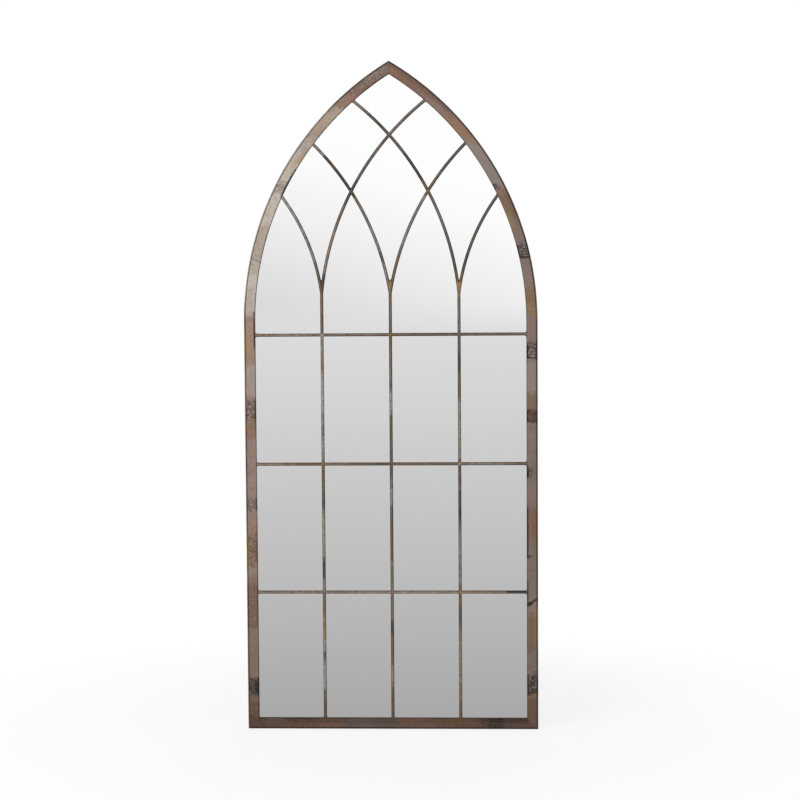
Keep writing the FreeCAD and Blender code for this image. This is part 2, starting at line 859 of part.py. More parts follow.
os.makedirs("parts", exist_ok=True)
for label, thing in sub_parts.items():
    thing.Shape.exportStep(f"parts/{label}.step")
    print(label, len(thing.Shape.Solids), round(thing.Shape.Volume, 1))
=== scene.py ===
import math

import bpy
import numpy as np
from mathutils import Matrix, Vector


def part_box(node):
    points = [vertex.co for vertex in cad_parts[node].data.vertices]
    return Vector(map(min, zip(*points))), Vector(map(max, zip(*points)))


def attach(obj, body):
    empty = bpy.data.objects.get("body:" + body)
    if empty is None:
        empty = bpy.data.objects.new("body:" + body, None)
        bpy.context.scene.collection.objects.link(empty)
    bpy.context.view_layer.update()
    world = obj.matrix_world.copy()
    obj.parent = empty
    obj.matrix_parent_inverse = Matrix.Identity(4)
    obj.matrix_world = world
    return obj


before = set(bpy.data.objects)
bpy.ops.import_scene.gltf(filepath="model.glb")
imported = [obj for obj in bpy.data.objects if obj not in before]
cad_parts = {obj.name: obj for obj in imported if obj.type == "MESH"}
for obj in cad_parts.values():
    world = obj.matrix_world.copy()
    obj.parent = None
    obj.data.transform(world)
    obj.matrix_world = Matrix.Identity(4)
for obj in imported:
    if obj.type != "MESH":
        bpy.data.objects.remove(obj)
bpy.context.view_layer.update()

# Looks of the lancet window mirror. Metres. X to the right seen from the front, Y to the wall, Z up.

# Driving sizes, as in the solids
HALF_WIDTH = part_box("right_stile_band")[1].x
FACE_WIDTH = 0.025
BAND_THICKNESS = 0.003
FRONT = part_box("bottom_rail")[0].y
SPRING_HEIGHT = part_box("left_stile")[1].z
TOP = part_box("left_arch_band")[1].z
ARCH_RADIUS = ((TOP - SPRING_HEIGHT) ** 2 + HALF_WIDTH ** 2) / (2 * HALF_WIDTH)
ARCH_CENTRE = ARCH_RADIUS - HALF_WIDTH
SIGHT_HALF = HALF_WIDTH - FACE_WIDTH
SIGHT_RADIUS = ARCH_RADIUS - FACE_WIDTH
SIGHT_SWEEP = math.acos(ARCH_CENTRE / SIGHT_RADIUS)

MULLIONS = ["left_mullion", "centre_mullion", "right_mullion"]
TRANSOMS = ["lower_transom", "middle_transom", "upper_transom"]
SIDES = {"left": -1, "right": 1}
BAR_RADIUS = (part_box("left_mullion")[1].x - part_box("left_mullion")[0].x) / 2
BAR_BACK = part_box("left_mullion")[1].y
BAR_CROWN = BAR_BACK - BAR_RADIUS
FORK_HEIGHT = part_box("left_mullion")[1].z
# Tracery bars: the lean out of the fork in degrees, and the share of the arch's sweep where each lands
TRACERY = {"long": (5.59, 0.849), "centre": (9.06, 0.649), "outer": (7.32, 0.441)}


def middle(node):
    """The middle of a node's box."""
    low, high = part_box(node)
    return (low + high) / 2


MULLION_X = [middle(name).x for name in MULLIONS]
TRANSOM_Z = [middle(name).z for name in TRANSOMS]


# Colours, as they look in plain light

def paint(red, green, blue):
    """A colour given in 0 to 255 as seen on a screen, made linear."""
    shares = np.array([red, green, blue]) / 255
    linear = np.where(shares <= 0.04045, shares / 12.92, ((shares + 0.055) / 1.055) ** 2.4)
    return (*(float(value) for value in linear), 1.0)


STONE = paint(190, 182, 171)
ASH = paint(184, 174, 163)
DRAB = paint(160, 144, 131)
TAUPE = paint(150, 132, 119)
MAUVE = paint(136, 117, 110)
PEWTER = paint(156, 153, 147)
SMOKE = paint(120, 107, 101)
BROWN = paint(116, 95, 83)
PINK = paint(186, 160, 150)
TAN = paint(196, 176, 150)
GOLD = paint(172, 140, 86)
OCHRE = paint(158, 127, 82)
OLIVE = paint(112, 92, 56)
BRONZE = paint(114, 86, 34)
RUST = paint(142, 95, 74)
UMBER = paint(98, 79, 68)
SLATE = paint(84, 76, 74)
SOOT = paint(34, 30, 28)

# What is the same all over a finish, by the name of the shader's socket
PATINA = {"Specular IOR Level": 0.15}
BARE_METAL = {"Metallic": 1.0}
HALF_RUSTED = {"Metallic": 0.6}


# Node trees

class Graph:
    """Adds nodes to one tree and wires them."""

    def __init__(self, tree):
        self.tree = tree

    def feed(self, socket, value):
        """Link a socket to another, or set it to a constant."""
        if isinstance(value, bpy.types.NodeSocket):
            self.tree.links.new(value, socket)
        else:
            socket.default_value = value

    def node(self, kind, inputs=None, **settings):
        """A node with its settings, and its inputs by name or number."""
        made = self.tree.nodes.new(kind)
        for name, value in settings.items():
            setattr(made, name, value)
        for name, value in (inputs or {}).items():
            self.feed(made.inputs[name], value)
        return made

    def math(self, operation, *values, clamp=False):
        """One sum, product or other working on values."""
        inputs = dict(enumerate(values))
        return self.node("ShaderNodeMath", inputs, operation=operation, use_clamp=clamp).outputs[0]

    def noise(self, vector, scale, detail=3.0, roughness=0.5):
        """Cloudy values round 0.5."""
        inputs = {"Vector": vector, "Scale": scale, "Detail": detail, "Roughness": roughness}
        return self.node("ShaderNodeTexNoise", inputs).outputs[0]

    def cells(self, vector, scale, feature="F1"):
        """Distance to the nearest of scattered points, or to the edge between two of them."""
        inputs = {"Vector": vector, "Scale": scale}
        return self.node("ShaderNodeTexVoronoi", inputs, feature=feature).outputs["Distance"]

    def ramp(self, value, low, high, start=0.0, end=1.0):
        """Runs smoothly from start to end while the value goes from low to high."""
        inputs = {"Value": value, "From Min": low, "From Max": high, "To Min": start, "To Max": end}
        made = self.node("ShaderNodeMapRange", inputs, interpolation_type="SMOOTHSTEP")
        return made.outputs["Result"]

    def blend(self, factor, first, second):
        """Two colours mixed by a factor."""
        inputs = {0: factor, 6: first, 7: second}
        made = self.node("ShaderNodeMix", inputs, data_type="RGBA", clamp_factor=True)
        return made.outputs[2]

    def stretched(self, vector, x, y, z):
        """Coordinates scaled on each axis."""
        inputs = {0: vector, 1: (x, y, z)}
        return self.node("ShaderNodeVectorMath", inputs, operation="MULTIPLY").outputs[0]

    def group(self, tree, **inputs):
        """A shared effect with its inputs; underscores stand for spaces."""
        made = self.node("ShaderNodeGroup", node_tree=tree)
        for name, value in inputs.items():
            self.feed(made.inputs[name.replace("_", " ")], value)
        return made.outputs


def new_group(name, inputs, outputs):
    """An empty node group, with its graph and its inner ends."""
    tree = bpy.data.node_groups.new(name, "ShaderNodeTree")
    kinds = {"value": "NodeSocketFloat", "colour": "NodeSocketColor", "vector": "NodeSocketVector"}
    for socket, kind in inputs.items():
        tree.interface.new_socket(socket, in_out="INPUT", socket_type=kinds[kind])
    for socket, kind in outputs.items():
        tree.interface.new_socket(socket, in_out="OUTPUT", socket_type=kinds[kind])
    graph = Graph(tree)
    start = graph.node("NodeGroupInput").outputs
    end = graph.node("NodeGroupOutput").inputs
    return tree, graph, start, end


def make_face_position():
    """Where a point lies across the frame's face: -1 on the outer edge, 1 on the sight line."""
    tree, graph, start, end = new_group("face position", {"Place": "vector"}, {"Across": "value"})
    place = graph.node("ShaderNodeSeparateXYZ", {0: start["Place"]}).outputs
    from_centre = graph.math("ADD", graph.math("ABSOLUTE", place["X"]), ARCH_CENTRE)
    above_spring = graph.math("MAXIMUM", graph.math("SUBTRACT", place["Z"], SPRING_HEIGHT), 0.0)
    squares = [graph.math("MULTIPLY", length, length) for length in (from_centre, above_spring)]
    reach = graph.math("SQRT", graph.math("ADD", *squares))
    inset = graph.math("MINIMUM", graph.math("SUBTRACT", ARCH_RADIUS, reach), place["Z"])
    doubled = graph.math("MULTIPLY", inset, 2 / FACE_WIDTH)
    graph.feed(end["Across"], graph.math("SUBTRACT", doubled, 1.0))
    return tree


def make_ground():
    """Mottled patina: broad clouds from light to dark, faint rust and ochre stains, and dark flecks."""
    inputs = {"Place": "vector", "Light": "colour", "Dark": "colour", "Stain": "value"}
    outputs = {"Colour": "colour", "Height": "value", "Roughness": "value"}
    tree, graph, start, end = new_group("patina ground", inputs, outputs)
    place = start["Place"]
    broad = graph.noise(place, 26.0, 4.0, 0.55)
    fine = graph.noise(place, 240.0, 5.0, 0.7)
    grain = graph.noise(place, 1500.0, 2.0)
    cloud = graph.math("ADD", graph.math("MULTIPLY", broad, 0.5), graph.math("MULTIPLY", fine, 0.5))
    colour = graph.blend(graph.ramp(cloud, 0.38, 0.62), start["Light"], start["Dark"])
    rusty = graph.ramp(graph.noise(place, 75.0, 5.0, 0.65), 0.52, 0.72)
    colour = graph.blend(graph.math("MULTIPLY", rusty, start["Stain"]), colour, RUST)
    elsewhere = (3.1, 1.7, 5.3)
    lifted = graph.node("ShaderNodeVectorMath", {0: place, 1: elsewhere}, operation="ADD").outputs[0]
    golden = graph.ramp(graph.noise(lifted, 60.0, 5.0, 0.65), 0.54, 0.74)
    colour = graph.blend(graph.math("MULTIPLY", golden, start["Stain"]), colour, OCHRE)
    flecks = graph.ramp(graph.noise(place, 260.0, 5.0, 0.75), 0.55, 0.68, 0.0, 0.60)
    colour = graph.blend(flecks, colour, UMBER)
    pale = graph.ramp(graph.noise(lifted, 280.0, 4.0, 0.7), 0.56, 0.70, 0.0, 0.32)
    colour = graph.blend(pale, colour, TAN)
    height = graph.math("ADD", graph.math("MULTIPLY", fine, 0.6), graph.math("MULTIPLY", grain, 0.4))
    graph.feed(end["Colour"], colour)
    graph.feed(end["Height"], height)
    graph.feed(end["Roughness"], graph.ramp(cloud, 0.3, 0.7, 0.40, 0.58))
    return tree


def make_patch():
    """One length of a member: ragged or sharp at each end, slanted, over all of the face or one edge."""
    inputs = dict.fromkeys(
        ["Run", "Across", "Cloud", "From", "To", "Low Edge", "High Edge", "Slant", "Side"], "value")
    tree, graph, start, end = new_group("patina patch", inputs, {"Mask": "value"})
    slanted = graph.math("ADD", start["Run"], graph.math("MULTIPLY", start["Slant"], start["Across"]))
    wander = graph.math("MULTIPLY", graph.math("SUBTRACT", start["Cloud"], 0.5), 6.0)
    ends = []
    for limit, edge in (("From", "Low Edge"), ("To", "High Edge")):
        run = graph.math("ADD", slanted, graph.math("MULTIPLY", wander, start[edge]))
        below = graph.math("SUBTRACT", start[limit], start[edge])
        above = graph.math("ADD", start[limit], start[edge])
        ends.append(graph.ramp(run, below, above))
    length = graph.math("SUBTRACT", ends[0], ends[1], clamp=True)
    leaning = graph.math("MULTIPLY", start["Across"], start["Side"])
    whole = graph.math("SUBTRACT", 1.0, graph.math("ABSOLUTE", start["Side"]))
    wandering = graph.math("ADD", graph.math("ADD", leaning, whole), graph.math("MULTIPLY", wander, 0.12))
    side = graph.ramp(wandering, -0.25, 0.45)
    graph.feed(end["Mask"], graph.math("MULTIPLY", length, side))
    return tree


def make_speckle():
    """Crowded small spots with worm-like gaps between them."""
    tree, graph, start, end = new_group("speckle", {"Place": "vector"}, {"Mask": "value"})
    crowd = graph.noise(start["Place"], 300.0, 1.0, 0.5)
    worms = graph.cells(start["Place"], 260.0, "DISTANCE_TO_EDGE")
    spots = graph.ramp(crowd, 0.40, 0.50)
    gaps = graph.ramp(worms, 0.02, 0.10, 0.30, 1.0)
    graph.feed(end["Mask"], graph.math("MULTIPLY", spots, gaps))
    return tree


FACE_POSITION = make_face_position()
GROUND = make_ground()
PATCH = make_patch()
SPECKLE = make_speckle()


def new_material(name):
    """A material with its graph, its shader and its own-place coordinates."""
    material = bpy.data.materials.new(name)
    material.use_nodes = True
    graph = Graph(material.node_tree)
    shader = material.node_tree.nodes["Principled BSDF"]
    place = graph.node("ShaderNodeTexCoord").outputs["Object"]
    return material, graph, shader, place


def coat(graph, shader, colour, roughness, constants=None):
    """Feed a shader its colour and roughness, and set what is the same all over on its own sockets."""
    graph.feed(shader.inputs["Base Color"], colour)
    graph.feed(shader.inputs["Roughness"], roughness)
    for name, value in (constants or {}).items():
        shader.inputs[name].default_value = value


def bump(graph, shader, height, strength, distance):
    """Give a shader relief from a height."""
    inputs = {"Height": height, "Strength": strength, "Distance": distance}
    graph.feed(shader.inputs["Normal"], graph.node("ShaderNodeBump", inputs).outputs["Normal"])


# Half the length over which a patch's end fades: usually, and at a sharp end
SOFT_EDGE = 0.008
SHARP_EDGE = 0.0012


class Patch:
    """A stretch of changed finish along a member, from low to high in metres along X or Z.

    The share says how well it covers, the side which edge of the face it keeps to, the slant how far
    its ends run on from the face's middle to its edge. A sharp patch has a crisp low end."""

    def __init__(
        self, colour, low, high, share, side=0, speckled=False, sharp=False, slant=0.0, soft=SOFT_EDGE,
    ):
        self.colour = colour
        self.low = low
        self.high = high
        self.share = share
        self.side = side
        self.speckled = speckled
        self.low_edge = SHARP_EDGE if sharp else soft
        self.high_edge = soft
        self.slant = slant


# How far a patch keeps to one edge of the face: half of it, or only a rim
OUTER = -1
INNER = 1
INNER_RIM = 3

# Finish of each frame member: its light and dark ground, the axis its patches run along, and the patches.
# The grounds are palest on the left arch and darkest on the bottom rail, partly the patina's own tone and
# partly painted light falling from the upper left.
FRAME_FINISH = {
    "left_arch_rail": (STONE, ASH, "Z", [
        Patch(BROWN, 1.392, 1.520, 0.80),
        Patch(RUST, 1.398, 1.490, 0.50, speckled=True),
        Patch(UMBER, 1.424, 1.520, 0.78, speckled=True),
        Patch(PEWTER, 1.452, 1.480, 0.18, OUTER),
        Patch(RUST, 1.408, 1.430, 0.60, INNER, speckled=True),
        Patch(DRAB, 1.330, 1.396, 0.85),
        Patch(OCHRE, 1.338, 1.392, 0.30, speckled=True),
        Patch(DRAB, 1.250, 1.304, 0.35),
        Patch(OCHRE, 1.270, 1.312, 0.60, INNER),
        Patch(MAUVE, 1.300, 1.350, 0.50),
        Patch(TAN, 1.238, 1.272, 0.45, OUTER),
        Patch(SLATE, 1.210, 1.234, 0.70, speckled=True, soft=0.004),
        Patch(SOOT, 1.196, 1.262, 0.90, INNER_RIM, soft=0.006),
        Patch(DRAB, 1.030, 1.140, 0.60),
        Patch(TAUPE, 1.072, 1.130, 0.50, speckled=True),
        Patch(UMBER, 1.060, 1.064, 0.55, slant=0.006, soft=0.0016),
        Patch(UMBER, 1.048, 1.051, 0.60, OUTER, slant=0.006, soft=0.0016),
        Patch(UMBER, 1.070, 1.073, 0.45, INNER, slant=0.006, soft=0.0016),
        Patch(DRAB, 0.920, 0.990, 0.45, soft=0.012),
        Patch(MAUVE, 0.900, 0.940, 0.85, soft=0.010),
        Patch(RUST, 0.900, 0.940, 0.35, speckled=True),
        Patch(SOOT, 0.900, 0.944, 0.85, INNER_RIM),
    ]),
    "right_arch_rail": (MAUVE, SMOKE, "Z", [
        Patch(UMBER, 1.416, 1.520, 0.60, speckled=True),
        Patch(OLIVE, 1.446, 1.492, 0.60, speckled=True),
        Patch(OCHRE, 1.474, 1.520, 0.35, speckled=True),
        Patch(RUST, 1.398, 1.486, 0.38, speckled=True),
        Patch(UMBER, 1.380, 1.520, 0.65, OUTER),
        Patch(OCHRE, 1.318, 1.368, 0.42, soft=0.014),
        Patch(RUST, 1.330, 1.390, 0.45, speckled=True),
        Patch(PEWTER, 1.226, 1.316, 0.32),
        Patch(SOOT, 1.214, 1.226, 0.80, INNER, speckled=True, soft=0.002),
        Patch(OLIVE, 1.150, 1.200, 0.45),
        Patch(RUST, 1.166, 1.212, 0.40, speckled=True),
        Patch(UMBER, 1.150, 1.212, 0.55, OUTER),
        Patch(OCHRE, 1.128, 1.166, 0.50, INNER),
        Patch(PEWTER, 1.064, 1.092, 0.55, sharp=True, soft=0.005),
        Patch(SOOT, 1.063, 1.096, 0.98, speckled=True, sharp=True, slant=0.001, soft=0.005),
        Patch(SOOT, 1.061, 1.065, 0.95, soft=0.0012),
        Patch(OCHRE, 0.932, 0.996, 0.60),
        Patch(UMBER, 0.932, 0.996, 0.35, speckled=True),
        Patch(OLIVE, 0.966, 0.996, 0.40),
    ]),
    "left_stile": (TAUPE, MAUVE, "Z", [
        Patch(TAN, 0.838, 0.940, 0.25),
        Patch(RUST, 0.838, 0.940, 0.45, speckled=True),
        Patch(OCHRE, 0.836, 0.886, 0.65, OUTER, sharp=True, slant=-0.003),
        Patch(SOOT, 0.862, 0.944, 0.90, INNER_RIM, soft=0.006),
        Patch(ASH, 0.756, 0.830, 0.35),
        Patch(PINK, 0.696, 0.750, 0.30),
        Patch(UMBER, 0.690, 0.752, 0.60, speckled=True, soft=0.006),
        Patch(SOOT, 0.704, 0.746, 0.72, speckled=True, soft=0.006),
        Patch(OLIVE, 0.680, 0.704, 0.60, speckled=True, soft=0.003),
        Patch(RUST, 0.660, 0.682, 0.55, soft=0.004),
        Patch(PINK, 0.498, 0.524, 0.60),
        Patch(SOOT, 0.496, 0.526, 0.80, speckled=True, soft=0.004),
        Patch(RUST, 0.376, 0.474, 0.55, speckled=True),
        Patch(OCHRE, 0.376, 0.442, 0.85, OUTER, sharp=True, slant=-0.003),
        Patch(OCHRE, 0.378, 0.440, 0.35, speckled=True),
        Patch(UMBER, 0.376, 0.444, 0.72, speckled=True),
        Patch(SOOT, 0.380, 0.440, 0.20, speckled=True),
        Patch(BROWN, 0.110, 0.350, 0.55),
        Patch(RUST, 0.232, 0.334, 0.60, speckled=True),
        Patch(UMBER, 0.232, 0.330, 0.70, speckled=True),
        Patch(SOOT, 0.074, 0.108, 0.35, slant=-0.002, soft=0.004),
        Patch(SOOT, 0.074, 0.118, 1.00, speckled=True, slant=-0.002, soft=0.005),
        Patch(SOOT, 0.074, 0.114, 0.60, INNER, soft=0.004),
        Patch(UMBER, -0.020, 0.078, 0.90),
        Patch(RUST, -0.020, 0.070, 0.30),
        Patch(SOOT, -0.020, 0.024, 0.38),
        Patch(SOOT, -0.020, 0.060, 0.45, speckled=True),
    ]),
    "right_stile": (MAUVE, SMOKE, "Z", [
        Patch(OCHRE, 0.904, 0.996, 0.18),
        Patch(PINK, 0.840, 0.868, 0.50, sharp=True, soft=0.005),
        Patch(SOOT, 0.839, 0.872, 0.98, speckled=True, sharp=True, soft=0.005),
        Patch(SOOT, 0.838, 0.841, 0.90, soft=0.0012),
        Patch(DRAB, 0.764, 0.834, 0.50),
        Patch(OLIVE, 0.724, 0.758, 0.45),
        Patch(UMBER, 0.696, 0.726, 0.80, sharp=True, soft=0.003),
        Patch(RUST, 0.698, 0.722, 0.40, sharp=True, soft=0.004),
        Patch(SOOT, 0.697, 0.722, 0.88, speckled=True, sharp=True, soft=0.004),
        Patch(SOOT, 0.695, 0.698, 0.80, soft=0.0012),
        Patch(SOOT, 0.572, 0.600, 0.98, INNER_RIM, soft=0.003),
        Patch(SOOT, 0.576, 0.592, 0.90, INNER, speckled=True, slant=0.004, soft=0.003),
        Patch(SOOT, 0.570, 0.598, 0.25, speckled=True),
        Patch(UMBER, 0.430, 0.500, 0.40),
        Patch(RUST, 0.430, 0.500, 0.60, speckled=True),
        Patch(OLIVE, 0.386, 0.500, 0.45, OUTER),
        Patch(SOOT, 0.390, 0.504, 1.00, INNER_RIM, soft=0.004),
        Patch(SOOT, 0.392, 0.398, 0.70, INNER, slant=0.004, soft=0.0016),
        Patch(SOOT, 0.292, 0.336, 0.70, INNER_RIM, soft=0.004),
        Patch(SOOT, 0.287, 0.293, 0.95, slant=0.006, soft=0.0014),
        Patch(SOOT, 0.284, 0.293, 0.95, INNER, slant=0.006, soft=0.0016),
        Patch(UMBER, 0.180, 0.260, 0.72),
        Patch(OCHRE, 0.190, 0.262, 0.28, speckled=True),
        Patch(OCHRE, 0.186, 0.266, 0.28, OUTER),
        Patch(PEWTER, 0.086, 0.122, 0.18, sharp=True, slant=0.003, soft=0.006),
        Patch(SOOT, 0.085, 0.126, 1.00, speckled=True, sharp=True, slant=0.003, soft=0.006),
        Patch(SOOT, 0.080, 0.087, 1.00, slant=0.003, soft=0.0014),
        Patch(OLIVE, -0.020, 0.084, 0.55),
        Patch(UMBER, -0.020, 0.070, 0.78),
    ]),
    "bottom_rail": (BROWN, UMBER, "X", [
        Patch(UMBER, -0.340, 0.340, 0.80),
        Patch(SOOT, -0.340, -0.200, 0.12, soft=0.020),
        Patch(RUST, -0.340, -0.296, 0.40),
        Patch(SOOT, -0.340, -0.290, 0.60, speckled=True),
        Patch(RUST, -0.240, -0.112, 0.45, speckled=True),
        Patch(OCHRE, -0.175, -0.110, 0.55, INNER_RIM),
        Patch(SOOT, -0.240, -0.106, 0.65, INNER, speckled=True),
        Patch(SOOT, -0.240, -0.170, 0.25, speckled=True),
        Patch(SLATE, -0.110, 0.020, 0.45),
        Patch(SMOKE, -0.105, 0.100, 0.42, OUTER, soft=0.012),
        Patch(SOOT, -0.040, 0.150, 0.18, soft=0.020),
        Patch(RUST, 0.010, 0.200, 0.35, speckled=True),
        Patch(OLIVE, 0.085, 0.160, 0.50, INNER),
        Patch(SOOT, 0.082, 0.200, 0.30, INNER, soft=0.010),
        Patch(SOOT, 0.145, 0.250, 0.24, OUTER, soft=0.010),
        Patch(SOOT, 0.196, 0.306, 0.58, INNER, soft=0.010),
        Patch(SOOT, 0.216, 0.248, 0.80, speckled=True, soft=0.005),
        Patch(SOOT, 0.200, 0.310, 0.16, soft=0.020),
    ]),
}

# Finish of the side band round each frame member
BAND_FINISH = {
    "left_arch_band": (TAUPE, BROWN, "Z", [
        Patch(STONE, 0.972, 1.396, 0.85, soft=0.016),
        Patch(OCHRE, 1.120, 1.170, 0.30),
        Patch(UMBER, 1.392, 1.520, 0.75),
    ]),
    "right_arch_band": (UMBER, SLATE, "Z", [
        Patch(OCHRE, 0.910, 0.990, 0.65),
        Patch(SOOT, 1.062, 1.110, 0.90),
    ]),
    "left_stile_band": (TAUPE, BROWN, "Z", [
        Patch(OCHRE, 0.836, 0.910, 0.60),
        Patch(TAUPE, 0.756, 0.832, 0.60),
        Patch(OCHRE, 0.376, 0.474, 0.70),
        Patch(SOOT, 0.020, 0.330, 0.40),
    ]),
    "right_stile_band": (BROWN, SLATE, "Z", [
        Patch(SOOT, 0.836, 0.886, 0.90),
        Patch(SOOT, 0.690, 0.726, 0.80),
        Patch(SLATE, 0.290, 0.430, 0.80),
        Patch(OLIVE, 0.430, 0.500, 0.70),
        Patch(OCHRE, 0.180, 0.282, 0.50),
        Patch(SOOT, 0.080, 0.130, 0.90),
    ]),
    "bottom_band": (UMBER, SLATE, "X", [
        Patch(SOOT, -0.340, 0.340, 0.45),
    ]),
}

